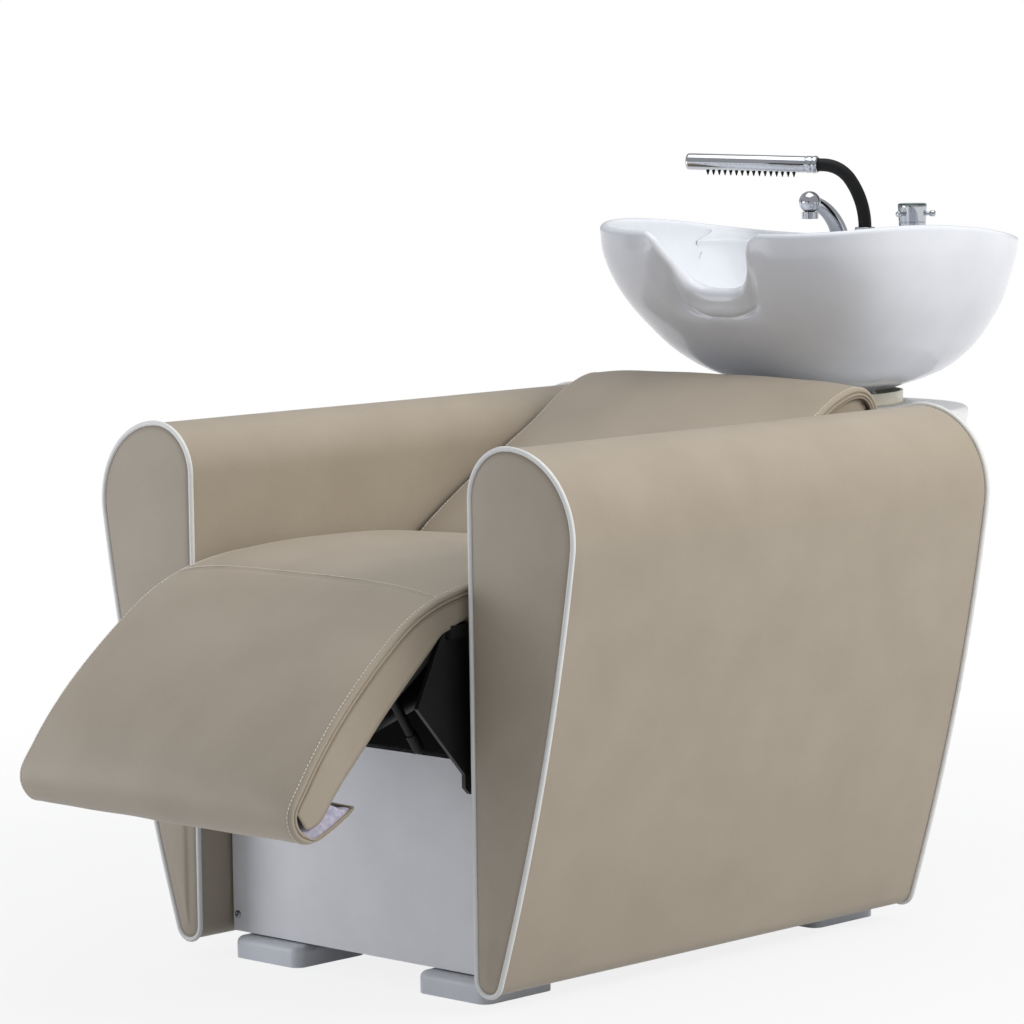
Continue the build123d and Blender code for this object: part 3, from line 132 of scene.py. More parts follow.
def swatch(text):
    """An sRGB hex colour as linear RGBA."""
    channels = [int(text[i:i + 2], 16) / 255 for i in (1, 3, 5)]
    return (*[c / 12.92 if c <= 0.04045 else ((c + 0.055) / 1.055) ** 2.4 for c in channels], 1.0)


def feed(tree, node, feeds):
    """Give each named input a value, or a link from another node's socket."""
    for socket, value in feeds.items():
        if isinstance(value, bpy.types.NodeSocket):
            tree.links.new(value, node.inputs[socket])
        else:
            node.inputs[socket].default_value = value


def add(tree, kind, feeds=None, **settings):
    """A new node with its settings and what feeds its inputs."""
    node = tree.nodes.new(kind)
    for name, value in settings.items():
        setattr(node, name, value)
    feed(tree, node, feeds or {})
    return node


def new_material(name):
    """An empty node material with its output, its shader and object coordinates."""
    made = bpy.data.materials.new(name)
    made.use_nodes = True
    tree = made.node_tree
    tree.nodes.clear()
    shader = add(tree, "ShaderNodeBsdfPrincipled")
    add(tree, "ShaderNodeOutputMaterial", {"Surface": shader.outputs[0]})
    return made, tree, shader, add(tree, "ShaderNodeTexCoord").outputs["Object"]


def two_tones(tree, shader, factor, low, high, dark, light):
    """A base colour that goes from dark to light where a noise's value goes from low to high."""
    tone = add(tree, "ShaderNodeMapRange", {0: factor, 1: low, 2: high})
    colour = add(tree, "ShaderNodeMix", {0: tone.outputs[0], 6: swatch(dark), 7: swatch(light)},
                 data_type="RGBA")
    feed(tree, shader, {"Base Color": colour.outputs[2]})


print("leatherette swatch in linear light:", [round(c, 3) for c in swatch("#B3A793")[:3]])

# %% [markdown]
# ## Leatherette
# The covers are a soft PVC leatherette: cloth with a foamed skin, pressed by a grained roller, so it has
# small pebbles about a millimetre across and a low satin sheen. At this distance a pebble is under a pixel,
# so the grain is drawn at 1.7 mm. Broad, faint patches come from the backing being stretched over foam.

# %% Leatherette
patch_size, fleck_size, pebble_size, swell_size = 90 * MM, 2.4 * MM, 1.7 * MM, 35 * MM


def leatherette(name, light, dark, pebble_depth=0.05, roughness=0.46):
    """Grained coated cloth between two near colours; the pebble's depth is in millimetres."""
    made, tree, shader, place = new_material(name)
    patch = add(tree, "ShaderNodeTexNoise", {"Vector": place, "Scale": 1 / patch_size, "Detail": 3.0})
    fleck = add(tree, "ShaderNodeTexNoise", {"Vector": place, "Scale": 1 / fleck_size, "Detail": 4.0})
    both = add(tree, "ShaderNodeMix", {0: 0.35, 2: patch.outputs[0], 3: fleck.outputs[0]}, data_type="FLOAT")
    two_tones(tree, shader, both.outputs[0], 0.36, 0.64, dark, light)
    pebbles = add(tree, "ShaderNodeTexVoronoi", {"Vector": place, "Scale": 1 / pebble_size},
                  feature="SMOOTH_F1")
    swell = add(tree, "ShaderNodeTexNoise", {"Vector": place, "Scale": 1 / swell_size, "Detail": 2.0})
    grain = add(tree, "ShaderNodeBump", {"Height": pebbles.outputs["Distance"], "Strength": 0.55,
                                         "Distance": pebble_depth * MM}, invert=True)
    soft = add(tree, "ShaderNodeBump", {"Height": swell.outputs[0], "Strength": 0.5,
                                        "Distance": 0.35 * MM, "Normal": grain.outputs[0]})
    sheen = add(tree, "ShaderNodeMapRange", {0: fleck.outputs[0], 1: 0.3, 2: 0.7, 3: roughness - 0.05,
                                             4: roughness + 0.07})
    feed(tree, shader, {"Normal": soft.outputs[0], "Roughness": sheen.outputs[0], "IOR": 1.48,
                        "Specular IOR Level": 0.36, "Sheen Weight": 0.06})
    return made


taupe = leatherette("taupe_pvc_leatherette", "#ABA090", "#A49989")
piping_vinyl = leatherette("white_vinyl_piping", "#E9E9E7", "#DEDEDC", 0.02, 0.36)
seam_vinyl = leatherette("taupe_welt_vinyl", "#9A8F7F", "#8E8373", 0.03, 0.42)
print("leatherettes:", taupe.name, piping_vinyl.name, seam_vinyl.name)

# %% [markdown]
# ## Moulded, painted, cast and turned finishes
# Most other surfaces are one colour with a fine, even roughness that tells how they were made. One recipe
# holds them all: a slow change of tone, a grain with its real size and depth, and a roughness that varies
# with the grain. Grains under a pixel are drawn at 1.5 mm or more. What is the same all over is set on the
# shader itself.

# %% A recipe for even finishes


def finish_of(name, light, dark, grain, depth, rough, metal=0.0, coat=0.0, patch=60.0, level=0.5):
    """An even finish: grain and patch are sizes, and depth a height, in millimetres."""
    made, tree, shader, place = new_material(name)
    slow = add(tree, "ShaderNodeTexNoise", {"Vector": place, "Scale": 1 / (patch * MM), "Detail": 4.0})
    fine = add(tree, "ShaderNodeTexNoise", {"Vector": place, "Scale": 1 / (grain * MM), "Detail": 3.0})
    two_tones(tree, shader, slow.outputs[0], 0.35, 0.65, dark, light)
    gloss = add(tree, "ShaderNodeMapRange", {0: fine.outputs[0], 1: 0.3, 2: 0.7,
                                             3: rough * 0.85, 4: rough * 1.15})
    bump = add(tree, "ShaderNodeBump", {"Height": fine.outputs[0], "Distance": depth * MM, "Strength": 0.6})
    feed(tree, shader, {"Roughness": gloss.outputs[0], "Normal": bump.outputs[0], "Metallic": metal,
                        "Coat Weight": coat, "Coat Roughness": 0.05})
    if not metal:
        feed(tree, shader, {"IOR": 1.5, "Specular IOR Level": level})
    return made


# Fired glaze flows out, so its waves are wide and shallow and its mirror image is soft at the edges
glaze = finish_of("white_vitreous_glaze", "#E1E4EA", "#DDE0E6", 9.0, 0.006, 0.16, coat=0.1, level=0.4)
# Polished and plated metal shows the room sharply; bare drawn, turned and galvanised metal blurs it
chrome = finish_of("polished_chrome_plate", "#C9CBD0", "#BEC1C6", 6.0, 0.0004, 0.08, metal=1.0)
zinc = finish_of("zinc_plated_steel", "#8F9295", "#7C7F82", 2.0, 0.01, 0.34, metal=1.0)
drawn_steel = finish_of("drawn_steel_rod", "#C4C6C8", "#B5B7B9", 1.6, 0.006, 0.2, metal=1.0)
brass = finish_of("turned_brass", "#C9A45A", "#B8924A", 1.6, 0.01, 0.25, metal=1.0)
# Powder coat and stoved enamel dry with a faint orange peel, which spreads each highlight
powder_black = finish_of("black_powder_coat", "#17181A", "#101113", 1.6, 0.05, 0.5)
powder_white = finish_of("white_powder_coat", "#ECEDF0", "#E7E8EB", 1.5, 0.02, 0.34)
enamel = finish_of("pale_grey_cabinet_enamel", "#E5E6E6", "#E3E4E5", 1.5, 0.02, 0.3, patch=240.0)
# Moulded plastic takes a dull grain from a spark-eroded mould, or a shine from a polished one
foot_plastic = finish_of("light_grey_polypropylene", "#E2E5EA", "#DADDE3", 1.6, 0.05, 0.42)
nylon = finish_of("black_nylon_housing", "#1E1F21", "#161718", 1.6, 0.06, 0.55)
control_abs = finish_of("dark_grey_abs", "#303134", "#292A2C", 1.6, 0.05, 0.45)
sleeve_plastic = finish_of("cream_polystyrene", "#E5E0D0", "#DED8C7", 2.0, 0.01, 0.28)
cap_plastic = finish_of("dark_green_acrylic", "#24423A", "#1C352F", 4.0, 0.004, 0.12, coat=0.4)
drain_plastic = finish_of("grey_drain_pvc", "#D2D2CC", "#C8C8C2", 2.5, 0.01, 0.35)
# Rubber over a braid, thread, cloth, felt and fleece scatter light and have no highlight to speak of
rubber = finish_of("black_braided_rubber", "#0E0E0F", "#09090A", 1.6, 0.14, 0.6, level=0.35)
thread = finish_of("pale_polyester_thread", "#E4DED2", "#D8D1C4", 1.6, 0.05, 0.6)
dust_cloth = finish_of("black_nonwoven_cloth", "#1B1B1D", "#121213", 1.8, 0.2, 0.9)
liner = finish_of("grey_felt_liner", "#8B878A", "#77747A", 1.8, 0.25, 0.95)
fleece = finish_of("lilac_white_fleece", "#C9C6D6", "#ABA8BD", 2.6, 0.9, 0.98, patch=6.0)
card_black = finish_of("matt_black_card", "#0B0B0C", "#070708", 2.0, 0.05, 0.9)
print("materials:", len(bpy.data.materials))

# %% [markdown]
# ## Plywood
# The boards behind the covers are birch plywood. Its face shows long, narrow figure along the board, which a
# noise stretched twelve times along one axis gives, with faint darker pores over it. Where the boards show
# inside the bed they are drawn black, as painted shade for the dark gaps beside the covers.

# %% Plywood
figure_size, pore_size = 14 * MM, 2 * MM


def board_of(name, light, dark):
    """Plywood with its figure along the board, raw or in black painted shade."""
    made, tree, shader, place = new_material(name)
    stretched = add(tree, "ShaderNodeMapping", {"Vector": place, "Scale": (1.0, 0.08, 1.0)}).outputs[0]
    figure = add(tree, "ShaderNodeTexNoise", {"Vector": stretched, "Scale": 1 / figure_size, "Detail": 6.0,
                                              "Distortion": 0.6})
    pores = add(tree, "ShaderNodeTexNoise", {"Vector": stretched, "Scale": 1 / pore_size, "Detail": 2.0})
    two_tones(tree, shader, figure.outputs[0], 0.35, 0.68, dark, light)
    bump = add(tree, "ShaderNodeBump", {"Height": pores.outputs[0], "Distance": 0.1 * MM, "Strength": 0.5})
    feed(tree, shader, {"Normal": bump.outputs[0], "Roughness": 0.62})
    return made


plywood = board_of("birch_plywood", "#D6B88C", "#B99468")
# The black boards are painted shade for the dark gaps where the boards show inside the bed
shade_black_board = board_of("shade_black_plywood", "#1A1917", "#111010")
print("boards:", plywood.name, shade_black_board.name)

# %% [markdown]
# ## Floor and light
# A big pale floor runs to the horizon. Where the camera sees it, part of its colour is plain white, so the
# picture has a white ground that still holds the soft shadow. The world does the same: it gives the room's
# light to the object, and plain white to the camera.

# %% Floor
bpy.ops.mesh.primitive_plane_add(size=60.0, location=(0, 0, 0))
floor = bpy.context.object
floor.name = "studio_floor"
floor_paint, tree, shader, place = new_material("white_floor_paint")
feed(tree, shader, {"Base Color": swatch("#D6D7DA"), "Roughness": 0.9, "Specular IOR Level": 0.1})
rays = add(tree, "ShaderNodeLightPath").outputs
seen_or_mirrored = add(tree, "ShaderNodeMath", {0: rays["Is Camera Ray"], 1: rays["Is Glossy Ray"]},
                       operation="MAXIMUM")
seen = add(tree, "ShaderNodeMath", {0: seen_or_mirrored.outputs[0], 1: rays["Is Transmission Ray"]},
           operation="MAXIMUM")
far = add(tree, "ShaderNodeVectorMath", {0: place}, operation="LENGTH")
fade = add(tree, "ShaderNodeMapRange", {0: far.outputs["Value"], 1: 0.7, 2: 2.2, 3: 0.85, 4: 1.0},
           interpolation_type="SMOOTHSTEP")
share = add(tree, "ShaderNodeMath", {0: seen.outputs[0], 1: fade.outputs[0]}, operation="MULTIPLY")
white_ground = add(tree, "ShaderNodeEmission", {"Color": (1, 1, 1, 1), "Strength": 1.0})
ground = add(tree, "ShaderNodeMixShader", {0: share.outputs[0], 1: shader.outputs[0],
                                           2: white_ground.outputs[0]})
feed(tree, tree.nodes["Material Output"], {"Surface": ground.outputs[0]})
floor.data.materials.append(floor_paint)
print("floor:", floor_paint.name)

# %% World
world = bpy.data.worlds.new("studio_world")
bpy.context.scene.world = world
world.use_nodes = True
tree = world.node_tree
tree.nodes.clear()
rays = add(tree, "ShaderNodeLightPath").outputs
seen = add(tree, "ShaderNodeMath", {0: rays["Is Camera Ray"], 1: rays["Is Transmission Ray"]},
           operation="MAXIMUM")
room_light = add(tree, "ShaderNodeBackground", {"Color": swatch("#F4F6FA"), "Strength": 0.47})
backdrop = add(tree, "ShaderNodeBackground", {"Color": (1, 1, 1, 1), "Strength": 1.0})
mixed = add(tree, "ShaderNodeMixShader", {0: seen.outputs[0], 1: room_light.outputs[0],
                                          2: backdrop.outputs[0]})
add(tree, "ShaderNodeOutputWorld", {"Surface": mixed.outputs[0]})
print("room light:", room_light.inputs["Strength"].default_value)

# %% [markdown]
# The brightest faces are the arms' tops and the right flank, so a wide key lamp stands high on the right and
# behind. A weaker lamp fills the front and a third one hangs over the bed. Polished metal and glaze also
# need something dark to mirror: two cards stand off to the sides, which cast no shade themselves.

# %% Lamps and cards


def softbox(name, place, target, width, height, watts, tint="#FFFFFF"):
    """A rectangular lamp that faces a point."""
    data = bpy.data.lights.new(name, "AREA")
    data.shape, data.size, data.size_y, data.energy = "RECTANGLE", width, height, watts
    data.color = swatch(tint)[:3]
    lamp = bpy.data.objects.new(name, data)
    aim = (Vector(target) - Vector(place)).to_track_quat("-Z", "Y")
    lamp.matrix_world = Matrix.Translation(place) @ aim.to_matrix().to_4x4()
    bpy.context.scene.collection.objects.link(lamp)
    return lamp


key = softbox("key_softbox", (3.3, 1.3, 2.7), (0, 0, 0.6), 2.4, 1.8, 104, "#FFFCF7")
key.visible_glossy = False  # its image would be a hard window in the glaze
softbox("front_fill", (-1.3, -1.55, 0.55), (-0.2, 0, 0.3), 1.1, 1.1, 9.5, "#F6F8FF")
softbox("top_softbox", (0, 0.2, 3.6), (0, 0, 0), 2.6, 2.6, 40)
for number, (place, facing) in enumerate((((-3.4, -1.6, 1.0), 65), ((2.2, -4.4, 0.8), 208))):
    bpy.ops.mesh.primitive_plane_add(size=1.0, location=place,
                                     rotation=(math.radians(90), 0, math.radians(facing)))
    card = bpy.context.object
    card.name, card.scale = f"dark_card_{number + 1}", (1.3, 1.9, 1.0)
    card.visible_diffuse = card.visible_shadow = card.visible_camera = card.visible_transmission = False
    card.data.materials.append(card_black)
print("lamps:", len(bpy.data.lights))

# %% [markdown]
# ## Mesh helpers
# Upholstery and cast ware are surfaces that follow sections, so most pieces are rows of points joined by
# quads. The points stay in millimetres until the mesh is made, and faces are turned outwards once.

# %% Pieces from rows of points


def link_up(name, mesh):
    """An object for a mesh, in the scene."""
    made = bpy.data.objects.new(name, mesh)
    bpy.context.scene.collection.objects.link(made)
    return made


def piece(name, rows, material, caps=True):
    """A mesh of quads over rings of equally many points, in millimetres, with its faces turned outwards."""
    rows = np.asarray(rows, float)
    count, width = rows.shape[:2]
    faces = []
    for i in range(count - 1):
        for j in range(width):
            k = (j + 1) % width
            faces.append((i * width + j, i * width + k, (i + 1) * width + k, (i + 1) * width + j))
    points = list(rows.reshape(-1, 3))
    for start in (0, (count - 1) * width) if caps else ():
        points.append(rows.reshape(-1, 3)[start:start + width].mean(0))
        faces += [(start + j, start + (j + 1) % width, len(points) - 1) for j in range(width)]
    mesh = bpy.data.meshes.new(name)
    mesh.from_pydata([tuple(float(c) * MM for c in p) for p in points], [], faces)
    solid = bmesh.new()
    solid.from_mesh(mesh)
    bmesh.ops.remove_doubles(solid, verts=solid.verts, dist=0.02 * MM)
    bmesh.ops.dissolve_degenerate(solid, edges=solid.edges, dist=0.005 * MM)
    bmesh.ops.recalc_face_normals(solid, faces=solid.faces)
    solid.to_mesh(mesh)
    solid.free()
    mesh.polygons.foreach_set("use_smooth", [True] * len(mesh.polygons))
    mesh.materials.append(material)
    return link_up(name, mesh)


def at_y(ring, y):
    """Points in X and Z, set at one Y."""
    return np.stack([ring[:, 0], np.full(len(ring), y), ring[:, 1]], 1)


print("a square of four points at Y 5:", at_y(np.zeros((4, 2)), 5.0).shape)

# %% [markdown]
# A profile is a few points measured on the object. A smooth curve goes through them and is cut into equal
# steps, so that the quads along it are even.

# %% Smooth lines


def along(line):
    """The distance run at each point of a line."""
    return np.r_[0, np.cumsum(np.linalg.norm(np.diff(line, axis=0), axis=1))]


def smooth_path(points, step=3.0):
    """A smooth curve through points, at equal steps along it."""
    p = np.asarray(points, float)
    p = np.vstack([2 * p[0] - p[1], p, 2 * p[-1] - p[-2]])
    dense = []
    for a, b, c, d in zip(p, p[1:], p[2:], p[3:]):
        ta, tb, tc = (max(np.linalg.norm(leg), 1e-6) ** 0.5 for leg in (b - a, c - b, d - c))
        m1 = tb * ((b - a) / ta - (c - a) / (ta + tb) + (c - b) / tb)
        m2 = tb * ((c - b) / tb - (d - b) / (tb + tc) + (d - c) / tc)
        for t in np.linspace(0, 1, 24, endpoint=False):
            dense.append((2 * t**3 - 3 * t**2 + 1) * b + (t**3 - 2 * t**2 + t) * m1
                         + (3 * t**2 - 2 * t**3) * c + (t**3 - t**2) * m2)
    dense = np.array(dense + [p[-2]])
    run = along(dense)
    places = np.linspace(0, run[-1], max(2, int(round(run[-1] / step)) + 1))
    return np.stack([np.interp(places, run, dense[:, i]) for i in range(dense.shape[1])], 1)


def nearest(line, point):
    """The station of a line that lies closest to a point."""
    return int(np.argmin(np.hypot(*(line - np.array(point)).T)))


def ease(t):
    """0 to 1 with a soft start and end."""
    t = np.clip(t, 0, 1)
    return t * t * t * (t * (6 * t - 15) + 10)


print("a test path of", len(smooth_path([(0, 0), (10, 5), (20, 0)], 2.0)), "points")

# %% [markdown]
# ## Beads, stitches and fasteners by Geometry Nodes
# Piping is a cord in a strip of vinyl, so it is a round section swept along the seam. A stitch repeats at a
# fixed pitch. Each is a small node tree with its sizes as named inputs, run on the bare points of the seam,
# and then kept as a plain mesh so that it can ride on its body.

# %% How a tree starts and ends


def start_tree(name, sizes):
    """A geometry tree with a geometry input, named sizes and a material input; gives their sockets."""
    tree = bpy.data.node_groups.new(name, "GeometryNodeTree")
    tree.interface.new_socket("Geometry", in_out="INPUT", socket_type="NodeSocketGeometry")
    for label, default in sizes.items():
        kind = "NodeSocketInt" if isinstance(default, int) else "NodeSocketFloat"
        tree.interface.new_socket(label, in_out="INPUT", socket_type=kind).default_value = default
    tree.interface.new_socket("Material", in_out="INPUT", socket_type="NodeSocketMaterial")
    tree.interface.new_socket("Geometry", in_out="OUTPUT", socket_type="NodeSocketGeometry")
    return tree, add(tree, "NodeGroupInput").outputs


def end_tree(tree, given, shape):
    """Realize, shade smooth, set the material and hand over."""
    real = add(tree, "GeometryNodeRealizeInstances", {0: shape.outputs[0]})
    smooth = add(tree, "GeometryNodeSetShadeSmooth", {0: real.outputs[0]})
    dressed = add(tree, "GeometryNodeSetMaterial", {0: smooth.outputs[0], "Material": given["Material"]})
    add(tree, "NodeGroupOutput", {0: dressed.outputs[0]})
    return tree


def grow(name, tree, lines, material, **sizes):
    """Run a tree on lines of points in millimetres and keep the result as a plain mesh."""
    points, edges = [], []
    for line_points, closed in lines:
        first, count = len(points), len(line_points)
        points += [tuple(float(c) * MM for c in p) for p in line_points]
        edges += [(first + i, first + i + 1) for i in range(count - 1)]
        edges += [(first + count - 1, first)] if closed else []
    seed = bpy.data.meshes.new(name + "_line")
    seed.from_pydata(points, edges, [])
    holder = link_up(name + "_line", seed)
    modifier = holder.modifiers.new(name, "NODES")
    modifier.node_group = tree
    named = {s.name: s.identifier for s in tree.interface.items_tree if s.in_out == "INPUT"}
    modifier[named["Material"]] = material
    for label, value in sizes.items():
        modifier[named[label.capitalize()]] = value
    bpy.context.view_layer.update()
    seen_by_render = holder.evaluated_get(bpy.context.evaluated_depsgraph_get())
    grown = bpy.data.meshes.new_from_object(seen_by_render)
    bpy.data.objects.remove(holder)
    grown.name = name
    return link_up(name, grown)


print("every tree ends in Realize Instances and Set Material")

# %% [markdown]
# The bead sweeps a circle along its seam. The stitches are short, six-sided rods, set out at an equal pitch
# and turned along the seam, so that hundreds of them cost little.

# %% Two trees: a bead along a seam, and short stitches along it
tree, given = start_tree("bead_along_seam", {"Radius": 0.0033, "Sides": 10})
line = add(tree, "GeometryNodeMeshToCurve", {"Mesh": given["Geometry"]})
section = add(tree, "GeometryNodeCurvePrimitiveCircle", {"Radius": given["Radius"],
                                                         "Resolution": given["Sides"]})
bead = add(tree, "GeometryNodeCurveToMesh", {"Curve": line.outputs[0], "Profile Curve": section.outputs[0],
                                             "Fill Caps": True})
bead_tree = end_tree(tree, given, bead)

tree, given = start_tree("stitches_along_seam", {"Pitch": 0.0045, "Length": 0.0032, "Thread": 0.0004})
line = add(tree, "GeometryNodeMeshToCurve", {"Mesh": given["Geometry"]})
marks = add(tree, "GeometryNodeCurveToPoints", {"Curve": line.outputs[0], "Length": given["Pitch"]},
            mode="LENGTH")
stitch = add(tree, "GeometryNodeMeshCylinder", {"Vertices": 6, "Radius": given["Thread"],
                                                "Depth": given["Length"]})
placed = add(tree, "GeometryNodeInstanceOnPoints", {"Points": marks.outputs[0],
                                                    "Instance": stitch.outputs[0],
                                                    "Rotation": marks.outputs["Rotation"]})
stitch_tree = end_tree(tree, given, placed)
print("trees:", bead_tree.name, stitch_tree.name)

# %% [markdown]
# ## The arms
# An arm is a drum: one sheet of leatherette goes right round a drop-shaped section and meets a flat panel
# at each end in a piped seam. The section is four arcs and a straight inner side. The sheet is pulled
# tight, so it only tucks in a little where it reaches the piping.

# %% The drop-shaped outline
arm_low, arm_high = span("right_arm_piping")
piping_radius = 3.3
arm_inner, arm_outer = arm_low[0] + piping_radius, arm_high[0] - piping_radius
arm_bottom, arm_top = arm_low[2] + piping_radius, arm_high[2] - piping_radius
arm_widest, shoulder_radius, toe_radius = 551.0, 62.0, 20.0
crest = arm_inner + shoulder_radius
crown_drop, crown_reach = arm_top - arm_widest, arm_outer - crest
crown_radius = (crown_reach**2 + crown_drop**2) / (2 * crown_drop)
crown_centre = np.array((crest, arm_top - crown_radius))
crown_end = math.atan2(crown_radius - crown_drop, crown_reach)
toe_centre = np.array((arm_inner + toe_radius, arm_bottom + toe_radius))
crown_normal = np.array((math.cos(crown_end), math.sin(crown_end)))
toe_gap = crown_centre - toe_centre
lead = toe_gap @ crown_normal
flank_radius = (toe_gap @ toe_gap + 2 * crown_radius * lead + crown_radius**2 - toe_radius**2) / (
    2 * (lead + crown_radius - toe_radius))
flank_centre = crown_centre + (crown_radius - flank_radius) * crown_normal
flank_end = math.atan2(toe_centre[1] - flank_centre[1], toe_centre[0] - flank_centre[0])


def arm_outline(inset=0.0, step=6.0):
    """The outline in X and Z, as equally spaced points and their outward directions."""
    points, ways = [], []
    arcs = (((crest, arm_top - shoulder_radius), shoulder_radius, math.pi, math.pi / 2),
            (crown_centre, crown_radius, math.pi / 2, crown_end),
            (flank_centre, flank_radius, crown_end, flank_end),
            (toe_centre, toe_radius, flank_end, -math.pi))
    for centre, radius, first, last in arcs:
        count = max(8, int(abs(last - first) * radius / step))
        for angle in np.linspace(first, last, count, endpoint=False):
            way = np.array((math.cos(angle), math.sin(angle)))
            points.append(np.array(centre) + (radius - inset) * way)
            ways.append(way)
    low, high = arm_bottom + toe_radius, arm_top - shoulder_radius
    for z in np.linspace(low, high, int((high - low) / step), endpoint=False):
        points.append(np.array((arm_inner + inset, z)))
        ways.append(np.array((-1.0, 0.0)))
    return np.array(points), np.array(ways)


print("outline:", len(arm_outline()[0]), "points, flank radius", round(flank_radius), "mm")

# %% [markdown]
# The wrap is drawn as rings of that outline from end to end. Each end panel is a nest of smaller and
# smaller outlines that draw together on a line up the middle of the drop, so the panel can swell by two
# millimetres over its foam without a crease. The piping is the bead tree on the same outline.

# %% End panels


def arm_spine(points):
    """The line up the middle of the drop, for each outline point."""
    z = np.clip(points[:, 1], arm_bottom + 70, arm_top - 105)
    share = (z - arm_bottom - 70) / (arm_top - 175 - arm_bottom)
    return np.stack([arm_inner + 24 + 56 * ease(share), z], 1)


def end_panel_rows(face_y, outwards, swell=2.2):
    """Rings of an end panel, from its rolled rim to its middle; outwards is the way it looks along Y."""
    rim = ((1.2, 6.4), (2.2, 5.0), (3.4, 3.6), (4.6, 2.4), (6.4, 1.4), (9.0, 0.8), (13.0, 0.3), (18.0, 0.0))
    rows = [at_y(arm_outline(inset)[0], face_y - outwards * back) for inset, back in rim]
    ring = arm_outline(rim[-1][0])[0]
    spine = arm_spine(ring)
    for t in np.linspace(0.08, 1.0, 13):
        rows.append(at_y(ring * (1 - t) + spine * t, face_y + outwards * swell * (1 - (1 - t) ** 2)))
    return rows


print("rings of an end panel:", len(end_panel_rows(front, -1)))

# %% Wrap, covers and piping of both arms
tucks = [(5.0, 2.0), (6.4, 0.9), (8.6, 0.25), (12.0, 0.0)]
stations = [(front + a, b) for a, b in tucks]
stations += [(y, 0.0) for y in np.linspace(front + 26, rear - 26, 52)]
stations += [(rear - a, b) for a, b in reversed(tucks)]
ring, ways = arm_outline()
wrap_rows = []
for y, tuck in stations:
    pull = 0.45 * np.sin(ring[:, 1] / 47.0 + y / 90.0) * np.sin((y - front) / (rear - front) * math.pi)
    wrap_rows.append(at_y(ring - ways * (tuck + 0.35 + 0.35 * pull)[:, None], y))
seam_ring = arm_outline(step=3.0)[0]
for word, side in (("right", 1), ("left", -1)):
    flip = np.array((side, 1, 1))
    wrap = piece(f"{word}_arm_wrap", wrap_rows * flip, taupe, caps=False)
    thickness = wrap.modifiers.new("cloth_thickness", "SOLIDIFY")
    thickness.thickness, thickness.offset = 3.0 * MM, -1.0
    covers = [piece(f"{word}_arm_{end}_cover", end_panel_rows(face_y, outwards) * flip, taupe, caps=False)
              for end, face_y, outwards in (("front", front, -1), ("rear", rear, 1))]
    seams = [(at_y(seam_ring, y) * flip, True) for y in (front + piping_radius, rear - piping_radius)]
    beads = grow(f"{word}_arm_beads", bead_tree, seams, piping_vinyl, radius=piping_radius * MM, sides=12)
    for made, node in zip((wrap, *covers, beads), ("cover", "front_panel", "rear_panel", "piping")):
        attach(made, "base")
        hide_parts(f"{word}_arm_{node}")
    print(word, "arm:", len(wrap.data.polygons), "faces in its wrap")

# %% [markdown]
# ## Seat and leg rest
# One long strip of leatherette runs from the back of the seat, over the hinge, down the leg rest, round its
# nose and back underneath as a short lip. It is sewn to narrower side panels with a welt, so the strip
# stands a few millimetres proud of them. The strip is a belt: one section, swept down the side profile.

# %% The side profile of the strip
leg_slope = math.radians(41.5)


def leg_at(u, w):
    """A point in Y and Z from its place along the leg rest and its height over the hinge line."""
    return (hinge_y - u * math.cos(leg_slope) - w * math.sin(leg_slope),
            hinge_z - u * math.sin(leg_slope) + w * math.cos(leg_slope))


seat_line = [(front + y, z) for y, z in (
    (353, 505), (345, 513), (300, 521), (235, 527.5), (165, 530), (100, 529.5), (50, 526.5), (0, 519.5),
    (-34, 510))]
leg_line = [leg_at(u, w) for u, w in (
    (14, 46.5), (38, 50), (60, 52), (110, 54.5), (180, 52.5), (224, 47.5), (266, 39.5), (294, 31),
    (311, 20.5), (321, 6.5), (324.5, -8), (322.5, -21), (314.5, -32), (301, -40.5), (281, -47.5),
    (262, -52.5), (247, -55.5), (241, -55), (239, -51))]
strip_line = smooth_path(seat_line + leg_line)
strip_run = along(strip_line)
print(f"strip: {strip_run[-1]:.0f} mm long, {len(strip_line)} stations")

# %% [markdown]
# The section of a strip has a crown that falls towards the edges, a small round edge, a stitched groove and
# the welt under it. How far the edge falls changes down the strip: a full seat, a flatter calf pad, and a
# flat lip. A shallow ripple, a few tenths deep, keeps the surface from looking machined.

# %% A strip swept down a profile
crown_power, edge_round = 4, 5
welt_inset, stitch_inset = 2.6, 5.2


def strip_section(half, fall, thick, bead=2.2):
    """Half a section as distances from the middle and depths, from the crown to the underside."""
    flat = half - edge_round
    rows = [(a, fall * (a / flat) ** crown_power) for a in np.linspace(0, flat, 30)]
    rows += [(flat + edge_round * math.sin(t), fall + edge_round - edge_round * math.cos(t))
             for t in np.radians((18, 36, 54, 72, 90))]
    rows += [(half - 0.7, fall + 6.2), (half - welt_inset, fall + 7.1)]  # the seam's groove
    rows += [(half - 2.4 + bead * math.cos(t), fall + 7.2 + bead - bead * math.sin(t))
             for t in np.radians((70, 40, 10, -20, -50, -80))]
    return np.array(rows + [(half - 5.5, fall + thick), (half * 0.5, fall + thick), (0, fall + thick)])


